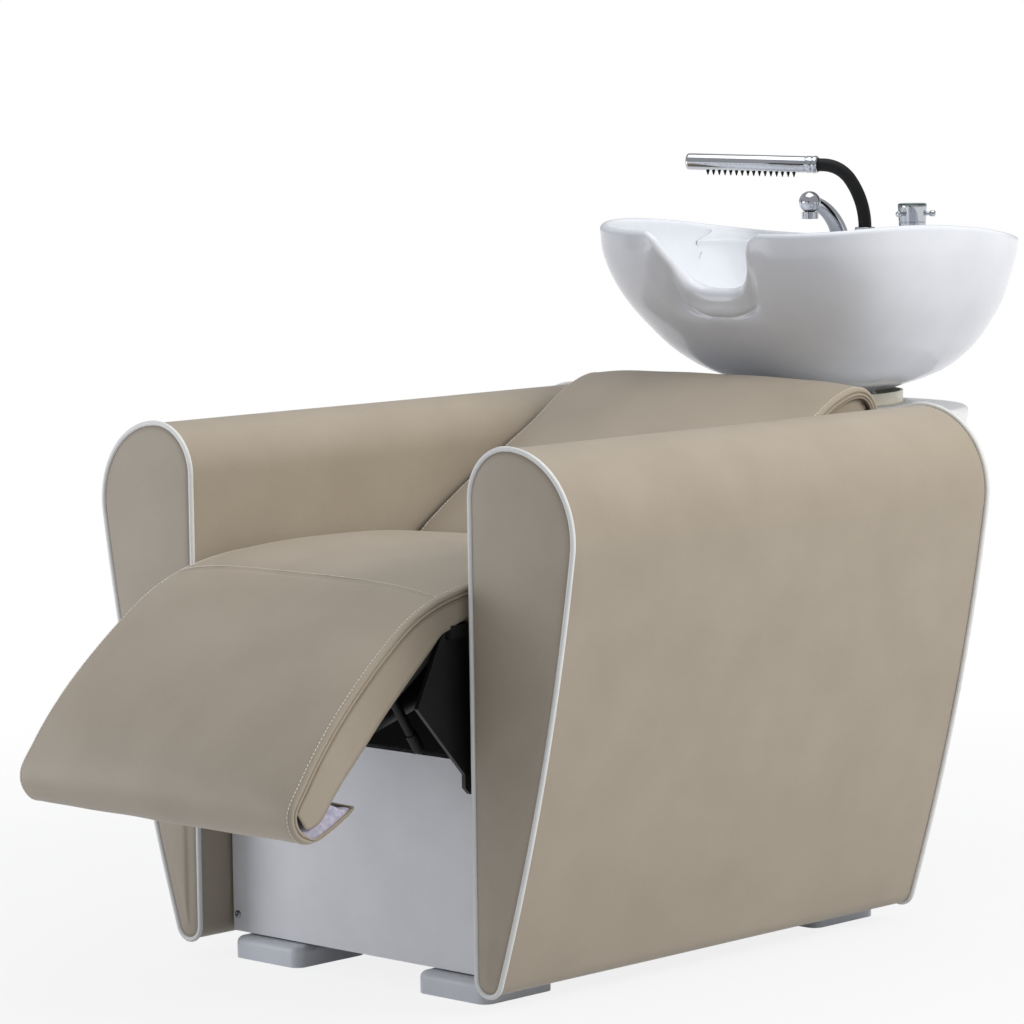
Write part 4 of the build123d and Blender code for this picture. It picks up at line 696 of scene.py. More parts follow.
class Strip:
    """A side profile towards -Y, half a width, and at each station the edge's fall, depth and slimness."""

    def __init__(self, line, half, falls, thicks, slim=1.0):
        self.line, self.half, self.falls, self.thicks = line, half, falls, thicks
        self.slim, self.run = np.broadcast_to(slim, len(line)), along(line)
        way = np.gradient(line, axis=0)
        way /= np.linalg.norm(way, axis=1)[:, None]
        self.out = np.stack([way[:, 1], -way[:, 0]], 1)

    def under(self, station, depth):
        """A point in Y and Z at a depth under the profile."""
        return self.line[station] - self.out[station] * depth

    def on_top(self, station, x, lift=0.15):
        """A point on the upper face."""
        share = abs(x) / (self.half - edge_round)
        return (x, *self.under(station, self.falls[station] * share ** crown_power - lift))

    def rings(self, ripple=0.5):
        """Closed rings across the strip, one for each station."""
        rings = []
        for i, (fall, slim, run) in enumerate(zip(self.falls, self.slim, self.run)):
            section = strip_section(self.half, fall, self.thicks[i])
            x, depth = np.vstack([section[:0:-1] * (-1, 1), section[:-1]]).T
            depth = fall + (depth - fall) * np.where(depth > fall, slim, 1.0)
            upper = np.clip((fall + 4 - depth) / 4, 0, 1) * np.clip((self.half - 4 - abs(x)) / 30, 0, 1)
            wave = np.sin(x / 37 + run / 61) * np.sin(run / 43 + 1.3) + 0.6 * np.sin(x / 19 - run / 33)
            rings.append(np.column_stack([x, self.under(i, (depth - ripple * upper * wave)[:, None])]))
        return rings


print("points in half a section:", len(strip_section(230, 17, 12)))

# %% [markdown]
# Four places set how the section of the long strip changes: the knee with its cross seam, the end of the calf
# pad, the nose, and the tip of the lip.

# %% The strip over the seat and the leg rest
seat_low, seat_high = span("seat_cushion")
knee = nearest(strip_line, (front - 44, 506))
calf_end = nearest(strip_line, leg_at(270, 39))
nose = nearest(strip_line, leg_at(322.5, -21))
leg_share = ease((strip_run - strip_run[knee] + 60) / 150)
nose_share = ease((strip_run - strip_run[calf_end]) / 70)
slim = 1 - 0.6 * ease((strip_run - strip_run[nose]) / 26)
tip = np.arange(len(strip_line))[::-1]
slim = np.where(tip < 2, slim * (0.5 + 0.25 * tip), slim)
seat = Strip(strip_line, seat_high[0], (17 - 8.5 * leg_share) * (1 - 0.93 * nose_share),
             12.0 - 2.0 * nose_share, slim)
rows = seat.rings()
seam_dip = 1.1 * np.exp(-((strip_run - strip_run[knee]) / 2.6) ** 2)
for i, row in enumerate(rows):
    near_top = np.clip((seat.half - 3 - abs(row[:, 0])) / 6, 0, 1)
    row[:, 1:] -= seat.out[i] * (seam_dip[i] * near_top)[:, None]
strip = piece("seat_and_leg_strip", rows, taupe)
print(f"strip: {len(strip.data.polygons)} faces, cross seam at station {knee}")

# %% [markdown]
# Under the strip the side panels close a foam body. Its top lies just inside the strip, its bottom on the
# boards, and it arches up over the hinge eyes. Its sides are set in behind the welt and drawn in a little
# more at mid height, as a sewn panel over foam is.

# %% The foam body under the strip
body_end = nearest(strip_line, leg_at(316, 19))
foot_points = smooth_path([(seat_high[1] - 2, seat_low[2]), (front + 250, seat_low[2]),
                           (front + 90, seat_low[2]), (front + 20, seat_low[2] + 0.5),
                           (front - 2, seat_low[2] + 8), (hinge_y + 6, hinge_z + 18.5)]
                          + [leg_at(u, w) for u, w in (
                              (12, 17.5), (26, 4), (38, -10.6), (70, -11), (150, -11), (240, -11),
                              (276, -10.8), (291, -6), (300, 3))])


def station_on(line, share):
    """The point of a line at a share of its length."""
    run = along(line)
    return np.array([np.interp(share * run[-1], run, line[:, k]) for k in (0, 1)])


def body_rows(strip, last, foot, inset, draw_in=3.0, foam_depth=9.5, tuck=4.0):
    """Rings across a foam body, from under a strip down to its base line, where the sides tuck in."""
    rows = []
    for i in range(0, last + 1, 2):
        top, low = strip.under(i, strip.falls[i] + foam_depth), station_on(foot, i / last)
        side = []
        for t in np.linspace(0, 1, 9):
            pull = draw_in * math.sin(math.pi * t) + (tuck * (t - 0.9) / 0.1 if t > 0.9 else 0)
            side.append((strip.half - inset - pull, *(top + (low - top) * t)))
        side = np.array(side)
        rows.append(np.vstack([side * (-1, 1, 1), side[::-1]]))
    return rows


body = piece("seat_and_leg_side_panels", body_rows(seat, body_end, foot_points, stitch_inset), taupe)
print("foam body:", len(body.data.polygons), "faces")

# %% [markdown]
# The side panels show as flat flaps from the welts down past the boards' edges, and they run unbroken over
# the hinge eyes, with a clearance of a tenth of a millimetre to the pins' heads.

# %% Side flaps over the hinge
flap_top, flap_thick = 10.5, 1.3
seat_foot = [(front + y, z) for y, z in ((60, 476), (40, 472), (16, 466), (-5, 459.5), (-18, 454))]
leg_foot = [leg_at(u, w) for u, w in (
    (8, -13), (35, -13), (100, -13), (145, -14), (174, -16), (226, -19), (250, -21.5), (270, -24.5),
    (283, -26.5), (297, -23), (308, -14))]
flap_foot = smooth_path(seat_foot + leg_foot)
flap_first = int(np.argmin(abs(strip_line[:, 0] - front - 58)))
flap_length = strip_run[body_end] - strip_run[flap_first]
flaps = []
for word, side in (("left", -1), ("right", 1)):
    rows = []
    for i in range(flap_first, body_end + 1, 2):
        top = seat.under(i, seat.falls[i] + flap_top)
        foot = station_on(flap_foot, (strip_run[i] - strip_run[flap_first]) / flap_length)
        down = top + (foot - top) * np.linspace(0, 1, 9)[:, None]
        rows.append([(side * (seat.half - welt_inset), *p) for p in down]
                    + [(side * (seat.half - welt_inset - flap_thick), *p) for p in down[::-1]])
    flaps.append(piece(f"{word}_knee_flap", rows, taupe))
print("flap faces:", len(flaps[0].data.polygons))

# %% [markdown]
# Two rows of pale thread run along the strip's edges, a few millimetres in, and one row crosses at the knee,
# where the strip is pieced. Under each edge lies a second, thinner welt. Both come from the seam trees.

# %% Stitches and second welts


def edge_stitches(name, strip, first, last, more=()):
    """Pale thread along both edges of a strip, and along more lines."""
    lines = [([strip.on_top(i, side * (strip.half - stitch_inset)) for i in range(first, last, 2)], False)
             for side in (-1, 1)]
    return grow(name, stitch_tree, [*lines, *more], thread, pitch=5.0 * MM, length=3.6 * MM,
                thread=0.6 * MM)


def edge_welts(name, strip, last, depth):
    """A thin welt just under each edge of a strip."""
    lines = [([(side * (strip.half - welt_inset), *strip.under(i, strip.falls[i] + depth))
               for i in range(0, last, 2)], False) for side in (-1, 1)]
    return grow(name, bead_tree, lines, seam_vinyl, radius=1.9 * MM, sides=8)


knee_row = ([seat.on_top(knee - 2, x, 0.25) for x in np.linspace(-seat.half + 6, seat.half - 6, 90)], False)
strip_stitches = edge_stitches("seat_and_leg_stitches", seat, 4, len(strip_line) - 12, [knee_row])
strip_welts = edge_welts("seat_and_leg_welts", seat, body_end, 13.6)
print("stitches:", len(strip_stitches.data.polygons) // 8)

# %% [markdown]
# Inside the lip, where the strip turns back under the leg rest, a lilac-white fleece keeps the heel soft. It
# is a pad with a nap, drawn with tiny bumps on its face, that fills the fold and thins out to the lip's
# edge. Then every piece of the leg rest is widened a little towards the nose, as on the real one.

# %% The fleece in the lip


def pad_ring(strip, station, x, face, root):
    """A ring across a pad on a strip's inner side, between the depths of its face and its root."""
    upper, lower = [np.column_stack([x, strip.under(station, np.broadcast_to(depth, x.shape)[:, None])])
                    for depth in (face, root)]
    return np.vstack([upper, lower[::-1]])


lip_start = nearest(strip_line, leg_at(319, -13))
x = np.linspace(-seat.half + 5, seat.half - 5, 150)
edge = np.clip((seat.half - 5 - abs(x)) / 4, 0, 1) ** 0.5
rows = []
for i in range(lip_start, len(strip_line) - 2):
    from_tip, from_nose = strip_run[-3] - strip_run[i], strip_run[i] - strip_run[lip_start]
    nap = 0.7 * np.sin(x * 1.31 + i * 2.1) * np.sin(x * 0.47 - i * 1.3) + 0.5 * np.sin(x * 2.3 - i)
    low = seat.falls[i] + seat.thicks[i] * seat.slim[i] - 0.8
    plump = 2.0 + 20.0 * ease(from_tip / 30) * ease(from_nose / 40 + 0.2)
    rows.append(pad_ring(seat, i, x, low + (plump + nap) * edge + 0.4, low))
lip_fleece = piece("lip_fleece", rows, fleece)
print("fleece faces:", len(lip_fleece.data.polygons))

# %% Wider and longer towards the nose
nose_gain, nose_lift, gain_run = 12, 2, 330
for made in (strip, body, strip_stitches, strip_welts, lip_fleece, *flaps):
    spots = np.empty(len(made.data.vertices) * 3)
    made.data.vertices.foreach_get("co", spots)
    spots = spots.reshape(-1, 3) / MM
    share = ease((front - 20 - spots[:, 1]) / gain_run) ** 0.8
    spots[:, 0] *= 1 + nose_gain / seat.half * share
    spots[:, 1] -= nose_gain * share
    spots[:, 2] += nose_lift * share
    made.data.vertices.foreach_set("co", (spots * MM).ravel())
    made.data.update()
print("gain at the nose:", nose_gain, "mm")

# %% [markdown]
# The strip and its side panels keep their places with their transforms baked in, and ride on no body. The
# fleece lies past the hinge, so it rides on the leg rest alone.

# %% The covers cross the hinge
for made in (strip, body, strip_stitches, strip_welts, *flaps):
    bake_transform(made)
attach(lip_fleece, "legrest")
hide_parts("seat_cushion", "legrest_cushion")

# %% [markdown]
# ## The back
# The reclined back is made the same way: a strip from its lower end up to the rounded head end and down
# behind it, over a foam body. Its profile is measured along the back's slope.

# %% The back's strip
back_half = span("back_cushion")[1][0]
back_slope = math.radians(27.6)
back_foot = np.array((front + 360 + 55 * math.sin(back_slope), 505 - 55 * math.cos(back_slope)))


def back_at(run, height):
    """A point in Y and Z from its place up the back and its height over the board."""
    return (back_foot[0] + run * math.cos(back_slope) - height * math.sin(back_slope),
            back_foot[1] + run * math.sin(back_slope) + height * math.cos(back_slope))


back_line = smooth_path([back_at(a, h) for a, h in (
    (428, 4), (429.3, 12), (429, 24), (426, 37), (419, 49.5), (408, 59), (392, 65.5), (370, 70), (340, 72.5),
    (290, 73), (210, 72), (130, 69), (60, 63.5), (26, 58.5), (9, 53), (1.5, 46), (1.2, 38))])
back_run = along(back_line)
head_share = ease((70 - back_run) / 60)
back_falls = 15.5 - 8.0 * ease((230 - back_run) / 130) - 4.5 * head_share
from_foot = np.arange(len(back_line))[::-1]
back_falls = np.where(from_foot < 8, back_falls * (0.55 + 0.056 * from_foot), back_falls)
ends = np.minimum(from_foot, from_foot[::-1])
back_thick = 12.0 - 3.0 * head_share
back_thick = np.where(ends < 3, back_thick * (0.5 + 0.15 * ends), back_thick)
back = Strip(back_line, back_half, back_falls, back_thick)
back_strip = piece("back_strip", back.rings(), taupe)
print("back:", len(back_strip.data.polygons), "faces,", round(back_run[-1]), "mm of strip")

# %% The back's body, stitches and welts
back_base = smooth_path([back_at(a, h) for a, h in (
    (408, 22), (407, 8), (401, 1), (385, 0.2), (200, 0.2), (30, 0.2), (6, 0.4), (3, 4))])
below_head = Strip(back_line[8:], back_half, back_falls[8:], back_thick[8:])
back_rows = body_rows(below_head, len(below_head.line) - 3, back_base, 5.6)
back_body = piece("back_side_panels", back_rows, taupe)
back_stitches = edge_stitches("back_stitches", back, 3, len(back_line) - 10)
back_welts = edge_welts("back_welts", back, len(back_line) - 6, 13.0)
for made in (back_strip, back_body, back_stitches, back_welts):
    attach(made, "base")
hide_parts("back_cushion")
print("back's body:", len(back_body.data.polygons), "faces")

# %% [markdown]
# ## The basin
# The basin is vitreous china: slip cast in a plaster mould, then glazed, so every edge is a soft roll and no
# wall has a corner. Its outside follows a law: a full, rounded section that grows and shifts with height. The
# rim has its own profile, highest at the sides and lower behind, and a notch for the neck dips into its
# front. The shell is drawn as rows from the base, over the rolled rim, down the inside to the drain.

# %% The law of the outside
bowl_half, bowl_half_length = 268.0, 252.0
front_power, rear_power, basin_rear_power = 3.3, 2.0, 3.0
base_height, widest_height = 666.0, 883.0
# Height, size as a share of the rim's, and the middle's distance behind the arms' fronts
outside_law = smooth_path([
    (666, 0.3, 951.2), (670, 0.345, 950.9), (676, 0.42, 950.3), (690, 0.555, 948.4), (717.6, 0.701, 944.4),
    (751, 0.81, 939.9), (785, 0.895, 933.8), (819, 0.951, 928), (852.6, 0.9885, 926), (883, 1.0, 926),
    (925, 1.004, 926)], 1.0)


def law_at(height):
    """The size and the middle of the section at a height."""
    return [np.interp(height, outside_law[:, 0], outside_law[:, k]) for k in (1, 2)]


def unit_section(angle, rear_power):
    """X and Y of a section of unit size, full in front and rounder behind."""
    c, s = np.cos(angle), np.sin(angle)
    power = np.where(s > 0, rear_power, front_power)
    reach = (abs(c) ** power + abs(s) ** power) ** (-1 / power)
    return reach * c, reach * s


# Columns run round the basin, three times closer together where the notch dips
fine = np.linspace(-math.pi, math.pi, 20001)
fine_x, fine_y = unit_section(fine, rear_power)
step = np.hypot(np.diff(fine_x) * bowl_half, np.diff(fine_y) * bowl_half_length)
weight = np.where((abs(fine_x[1:] * bowl_half) < 125) & (fine_y[1:] < 0), 3.0, 1.0)
count = np.r_[0, np.cumsum(step * weight)]
turn = np.interp(np.linspace(0, count[-1], 301)[:-1], count, fine)
sin_turn = np.sin(turn)
from_middle = abs(bowl_half * unit_section(turn, rear_power)[0])
notch_near = np.where(sin_turn < 0, ease((112 - from_middle) / 70), 0.0)
print("columns:", len(turn))

# %% [markdown]
# A point of the shell's wall lies at a depth under the law's outside, along its normal. The normal comes from
# two close steps, one round the basin and one up it. Under the notch the wall is pressed in.

# %% Points on and under the outside
dent_depth = 21.0


def outside(height, shift=0.0):
    """Points of the outside for each column, at one height or at a height of its own."""
    size, middle = law_at(height)
    ux, uy = unit_section(turn + shift, rear_power)
    dent = dent_depth * notch_near * ease((height - 758) / 46) * (1 - ease((height - 820) / 62))
    return np.stack([bowl_half * size * ux, front + middle + bowl_half_length * size * uy + dent,
                     np.broadcast_to(height, turn.shape)], 1)


def shell_point(height, depth):
    """Points under the outside by a depth for each column; a negative depth stands proud."""
    round_way = outside(height, 0.004) - outside(height, -0.004)
    up_way = outside(height + 1.5) - outside(height - 1.5)
    normal = np.cross(round_way, up_way)
    normal /= np.linalg.norm(normal, axis=1)[:, None]
    return outside(height) - normal * np.broadcast_to(depth, turn.shape)[:, None]


print("width at the rim:", round(float(np.ptp(outside(widest_height)[:, 0]))), "mm")

# %% [markdown]
# The rim's height is known for each column. A rolled edge of constant thickness needs rows at a set
# distance from that line, measured in the surface, and not straight below it, because the notch's flanks
# are steep. So the line is worn down by a ball of that radius, which is a short search over its neighbours.

# %% The rim and its worn-down rows
rim_points = outside(widest_height)
rim_side = smooth_path([(630, 881), (674, 884), (715, 888.5), (770, 893), (830, 893), (911, 887.5),
                        (990, 878), (1067, 867.5), (1125, 861), (1178, 857.5), (1210, 856.5)], 2.0)
notch_side = smooth_path([(0, 807), (19, 807.5), (35, 810.5), (47, 816), (57, 825), (65, 837), (71.5, 851),
                          (77, 864), (83.5, 875), (93, 882), (114, 894)], 1.0)
rim_height = np.interp(rim_points[:, 1] - front, rim_side[:, 0], rim_side[:, 1])
notch_height = np.interp(abs(rim_points[:, 0]), notch_side[:, 0], notch_side[:, 1], right=1000.0)
rim_height = np.where(sin_turn < 0, np.minimum(rim_height, notch_height), rim_height)
rim_run = along(rim_points[:, :2])
whole_run = rim_run[-1] + np.linalg.norm(rim_points[0, :2] - rim_points[-1, :2])
grid_step = 0.5
grid = np.arange(0, whole_run, grid_step)
grid_height = np.interp(grid, np.r_[rim_run, whole_run], np.r_[rim_height, rim_height[0]])
worn = [grid_height]
for ball in range(1, 46):
    drops = {k: math.sqrt(max(ball**2 - (k / 2) ** 2, 0)) for k in range(-2 * ball, 2 * ball + 1)}
    worn.append(np.min([np.roll(grid_height, k) - drop for k, drop in drops.items()], axis=0))
worn = np.array(worn)


def rim_less(distance):
    """Height of each column at a distance from the rim line, measured in the surface."""
    distance = np.clip(np.broadcast_to(distance, turn.shape), 0, len(worn) - 1.1)
    low = distance.astype(int)
    share = distance - low
    place = np.clip(np.round(rim_run / grid_step).astype(int), 0, len(grid) - 1)
    return worn[low, place] * (1 - share) + worn[low + 1, place] * share


print(f"rim from Z {rim_height.min():.0f} to {rim_height.max():.0f}")

# %% [markdown]
# The wall is 14 mm, rolled to a full round at the rim. Round the notch it swells to a fat lip that stands
# out from the wall, so that the neck rests on something soft-edged. Behind the basin the shell turns into a
# flat deck for the taps, level with the rear rim.

# %% The outer wall, the lip and the rolled rim
wall, last_down = 14, 44.0
lip = np.where(sin_turn < 0, 1 - ease((rim_height - 813) / 48), 0.0)
roll = 7.0 + 5.5 * lip - 2.4 * ease((sin_turn - 0.25) / 0.5)


def flare(distance):
    """How far the notch's lip stands out at a distance from its edge: a bead with a crease under it."""
    share = np.clip((distance - roll) / (34.0 - roll), 0, 1)
    return lip * (9.0 * np.sqrt(1 - share**2) - 1.2 * np.exp(-((distance - 35.5) / 3.0) ** 2))


first_height = rim_less(last_down)
shell_rows = [shell_point(base_height + (first_height - base_height) * t ** 0.8, -flare(last_down) * t)
              for t in np.linspace(0, 1, 24)]
for down in (41, 38.5, 36.5, 35, 34, 33.6, 33, 32, 30.5, 28.5, 26, 23, 19.5, 16, 13.5):
    shell_rows.append(shell_point(rim_less(down), -flare(down)))
for angle in np.radians(np.linspace(0, 180, 15)):
    down = roll * (1 - np.sin(angle))
    shell_rows.append(shell_point(rim_less(down), roll * (1 - np.cos(angle)) - flare(roll)))
print("rows up to the rim's inner edge:", len(shell_rows))

# %% [markdown]
# From the rim's inner edge the rows go on over the deck, as far as the basin's inside lies from the edge. The
# deck fades out towards the sides, where the wall goes straight down. Below it what is left between the two
# is faded out as well, so that the basin ends in an even bowl with its drain in the middle.

# %% The deck for the taps, and the inside down to the drain
deck_top, basin_end, basin_floor, inside_foot = 857.0, 1062.0, 692.0, 674.0


def inside(height):
    """Points of the basin's inside, each column at its own height."""
    height = np.broadcast_to(height, turn.shape)
    rise = (height - basin_floor) / (widest_height - basin_floor)
    size, middle = law_at(inside_foot + np.clip(rise, 0, 1.2) * (widest_height - inside_foot))
    start = middle - size * bowl_half_length + wall
    end = middle + size * bowl_half_length - wall
    end = end - np.log1p(np.exp(np.clip((end - basin_end) / 7, -30, 30))) * 7
    ux, uy = unit_section(turn, basin_rear_power)
    return np.stack([(size * bowl_half - wall) * ux, front + (start + end) / 2 + (end - start) / 2 * uy,
                     height], 1)


edge = shell_rows[-1]
basin_edge = inside(np.full(turn.shape, deck_top))
gap = np.linalg.norm((edge - basin_edge)[:, :2], axis=1) * ease((sin_turn - 0.1) / 0.6)
deck = ease(gap / 26)
brink = edge + (basin_edge - edge) * deck[:, None]
brink_way = (edge - brink)[:, :2]
brink_way = brink_way / np.maximum(np.linalg.norm(brink_way, axis=1), 1e-6)[:, None]
for t in (0.08, 0.16, 0.26, 0.4, 0.55, 0.7, 0.84, 0.93):
    row = edge + (brink - edge) * t
    share = np.clip(t * np.maximum(1, gap / 15), 0, 1)
    row[:, 2] = edge[:, 2] + (brink[:, 2] - edge[:, 2]) * share * share * (3 - 2 * share)
    shell_rows.append(row)
for out, drop in ((6, 0.0), (3.6, 0.5), (1.7, 1.8), (0.5, 3.7), (0, 6)):
    row = brink.copy()
    row[:, :2] += brink_way * np.minimum(out, gap * 0.05)[:, None] * deck[:, None]
    row[:, 2] -= drop * deck
    shell_rows.append(row)
top = shell_rows[-1]
residue = (top - inside(top[:, 2])) * (1, 1, 0)
for t in np.linspace(0, 1, 30)[1:]:
    height = top[:, 2] + (basin_floor - top[:, 2]) * t ** 1.15
    fading = 1 - ease((top[:, 2] - height) / 42)
    shell_rows.append(inside(height) + residue * fading[:, None])
drain = np.array((0, sum(span("waste_strainer"))[1] / 2, basin_floor - 0.2))
shell_rows.append(shell_rows[-1] * (1 - 0.35) + drain * 0.35)
shell_rows.append(shell_rows[-1] * (1 - 0.7) + drain * 0.7)
bowl = piece("glazed_basin", shell_rows, glaze)
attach(bowl, "bowl_unit")
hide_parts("bowl")
print("basin:", len(bowl.data.polygons), "faces")

# %% [markdown]
# ## The hand spray
# The spray is a chromed tube with a flat, chamfered end, and a turned collar where the hose goes in. It is a
# turned part, so its shape is a line of radii along the axis, spun round it. Rubber nozzles stand in a row
# under it; they repeat at a fixed pitch, so a small tree sets them out.

# %% A turned part, and the spray


def turned(name, start, way, profile, material, sides=48):
    """A turned part with crisp edges: distances along an axis, each with its radius."""
    way = Vector(way).normalized()
    across = way.orthogonal().normalized()
    up = way.cross(across)
    rows = []
    for distance, radius in profile:
        middle = Vector(start) + way * distance
        rows.append([tuple(middle + (across * math.cos(a) + up * math.sin(a)) * radius)
                     for a in np.linspace(0, 2 * math.pi, sides, endpoint=False)])
    made = piece(name, rows, material)
    made.data.set_sharp_from_angle(angle=math.radians(38))
    return made


spray_low, spray_high = span("spray_bar")
spray_radius = 11.5
heading, rise = math.radians(28.3), math.radians(1.8)
spray_way = np.array((-math.cos(heading) * math.cos(rise), -math.sin(heading) * math.cos(rise),
                      math.sin(rise)))
room = spray_radius * np.sqrt(1 - spray_way**2)
spray_start = np.array((spray_high[0] - room[0], spray_high[1] - room[1], spray_low[2] + room[2]))
spray = turned("spray_tube", spray_start, spray_way, (
    (0.3, 9.3), (0.5, 10.6), (1.4, 11.7), (2.6, 12.3), (6.4, 12.3), (7.2, 12.0), (7.8, 11.1), (8.6, 11.1),
    (9.2, 11.8), (9.8, 11.9), (15.6, 11.9), (16.2, 11.7), (16.7, 11.0), (17.4, 11.0), (17.9, 11.4),
    (18.4, 11.5), (90, 11.5), (182.5, 11.5), (184.4, 11.4), (185.6, 10.9), (186.6, 9.9), (187, 9.0),
    (187, 4)), chrome)
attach(spray, "spray")
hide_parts("spray_bar")
print("spray:", len(spray.data.polygons), "faces")

# %% Rubber jets under the spray
tree, given = start_tree("nozzles_along_bar", {"Count": 16, "Foot": 0.003, "Tip": 0.0006, "Height": 0.0075})
line = add(tree, "GeometryNodeMeshToCurve", {"Mesh": given["Geometry"]})
marks = add(tree, "GeometryNodeCurveToPoints", {"Curve": line.outputs[0], "Count": given["Count"]},
            mode="COUNT")
cone = add(tree, "GeometryNodeMeshCone", {"Vertices": 12, "Side Segments": 2, "Radius Top": given["Tip"],
                                          "Radius Bottom": given["Foot"], "Depth": given["Height"]})
placed = add(tree, "GeometryNodeInstanceOnPoints", {"Points": marks.outputs[0], "Instance": cone.outputs[0],
                                                    "Rotation": (math.pi, 0.0, 0.0)})
nozzle_tree = end_tree(tree, given, placed)
under_bar = spray_start - np.array((0, 0, spray_radius - 1.2))
jet_line = [under_bar + spray_way * d for d in (34.4, 95.7, 157.0)]
jets = grow("spray_jets", nozzle_tree, [(jet_line, False)], rubber, count=16, height=7.6 * MM)
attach(jets, "spray")
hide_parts("spray_nozzles")
print("jets:", len(jets.data.polygons), "faces")

# %% [markdown]
# ## The mixer's knob
# The knob is a turned barrel with two fine grooves and a foot that is a little narrower. Three short levers
# with thicker ends are screwed into it, so that wet hands can turn it.

# %% The mixer's knob
knob_low, knob_high = span("mixer_knob")
tap_y = sum(span("mixer_base"))[1] / 2
knob = turned("mixer_barrel", (0, tap_y, knob_low[2]), (0, 0, 1), (
    (0.0, 12.5), (0.0, 17.4), (0.6, 18.2), (6.2, 18.4), (6.8, 17.7), (7.8, 17.7), (8.4, 18.6), (12.4, 18.8),
    (13.0, 18.2), (13.8, 18.2), (14.4, 18.9), (26, 19.5), (34.4, 20.0), (36.2, 19.9), (36.9, 19.2),
    (37.0, 18.0)), chrome)
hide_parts("mixer_knob")
lever_profile = ((0, 2.7), (11.4, 2.7), (12.2, 3.4), (13.2, 4.1), (17.4, 4.2), (18.6, 3.9), (19.4, 3.0),
                 (19.7, 1.6))
levers = []
for number, angle in enumerate(np.radians((30, 150, 270))):
    way = np.array((math.cos(angle), math.sin(angle), 0.0))
    root = np.array((0, tap_y, knob_low[2] + 25)) + way * 12.5
    levers.append(turned(f"mixer_lever_{number + 1}", root, way, lever_profile, chrome, sides=24))
ring = [(18.6 * math.cos(a), tap_y + 18.6 * math.sin(a), knob_high[2] + 0.3)
        for a in np.linspace(0, 2 * math.pi, 64, endpoint=False)]
cap_ring = grow("mixer_cap_ring", bead_tree, [(ring, True)], cap_plastic, radius=1.2 * MM, sides=10)
for made in (knob, *levers, cap_ring):
    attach(made, "mixer_handle")
print("knob from Z", round(knob_low[2]), "to", round(knob_high[2]))

# %% [markdown]
# ## The rear cabinet
# A sheet-metal cabinet under the basin widens towards its top. Its plan is straight in front with two big
# rounded corners behind, and its top edge is pressed over a soft radius before the enamel goes on, which
# catches a thin line of light. The sleeve of the tilting column comes up through an oval hole.

# %% The cabinet's pressed shell
cabinet_low, cabinet_high = span("rear_cabinet")
cabinet_foot, cabinet_top, edge_radius = 60.0, 645.0, 7.0
column_y = joint_place("bowl_tilt")[1]
cabinet_front = cabinet_low[1] + 0.4


def cabinet_ring(height, inset=0.0):
    """The cabinet's plan at one height: the right half from the front's middle, then its mirror image."""
    share = (height - cabinet_foot) / (cabinet_top - cabinet_foot)
    half, end = cabinet_high[0] - inset, cabinet_front + 102 + 220 * share - inset
    corner, near = 90 + 68 * share - inset, cabinet_front + inset
    right = [(half * t, near) for t in np.linspace(0, 1, 20)]
    right += [(half, near + (end - corner - near) * t) for t in np.linspace(0, 1, 14)[1:]]
    right += [(half - corner + corner * math.cos(a), end - corner + corner * math.sin(a))
              for a in np.linspace(0, math.pi / 2, 40)[1:]]
    right += [((half - corner) * (1 - t), end) for t in np.linspace(0, 1, 12)[1:]]
    return np.array([(x, y, height) for x, y in right] + [(-x, y, height) for x, y in right[-2:0:-1]])


rows = [cabinet_ring(z) for z in np.linspace(cabinet_foot, cabinet_top - edge_radius, 12)]
for a in np.radians((15, 30, 45, 60, 75, 90)):
    rows.append(cabinet_ring(cabinet_top - edge_radius + edge_radius * math.sin(a),
                             edge_radius * (1 - math.cos(a))))
top_edge = rows[-1]
from_column = top_edge - (0, column_y, 0)
to_hole = 1 / np.hypot(from_column[:, 0] / 82.0, from_column[:, 1] / 107.0)
hole = np.stack([from_column[:, 0] * to_hole, column_y + from_column[:, 1] * to_hole, top_edge[:, 2]], 1)
rows += [top_edge + (hole - top_edge) * t for t in (0.15, 0.4, 0.7, 1.0)]
cabinet = piece("cabinet_shell", rows, enamel, caps=False)
sheet = cabinet.modifiers.new("sheet", "SOLIDIFY")
sheet.thickness, sheet.offset = 2.0 * MM, -1.0
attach(cabinet, "base")
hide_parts("rear_cabinet")
print("cabinet rows:", len(rows))

# %% [markdown]
# ## The leg rest's frame
# The frame's side bars run close under the pad. Seen from the front they are hidden by the pad's sides, so
# the bars are drawn in a little from the hinge outwards. The solid's own mesh is copied and merged first.

# %% The leg rest's frame, drawn in
draw_in = 30.0
frame_mesh = frame["nodes"]["legrest_frame"].data.copy()
frame_mesh.name = "legrest_bars"
bars = bmesh.new()
bars.from_mesh(frame_mesh)
bmesh.ops.remove_doubles(bars, verts=bars.verts, dist=0.01 * MM)
for vertex in bars.verts:
    x, y, z = vertex.co / MM
    run = (hinge_y - y) * math.cos(leg_slope) + (hinge_z - z) * math.sin(leg_slope)
    share = float(ease((run - 22) / 70) * ease((abs(x) - 60) / 120))
    vertex.co.x -= math.copysign(draw_in, x) * share * MM
bars.to_mesh(frame_mesh)
bars.free()
frame_mesh.materials.clear()
frame_mesh.materials.append(powder_black)
leg_bars = link_up("legrest_bars", frame_mesh)
soft_edges = leg_bars.modifiers.new("bar_edges", "BEVEL")
soft_edges.width, soft_edges.segments, soft_edges.limit_method = 0.8 * MM, 2, "ANGLE"
soft_edges.angle_limit = math.radians(50)
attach(leg_bars, "legrest")
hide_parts("legrest_frame")
print("frame:", len(frame_mesh.polygons), "faces")

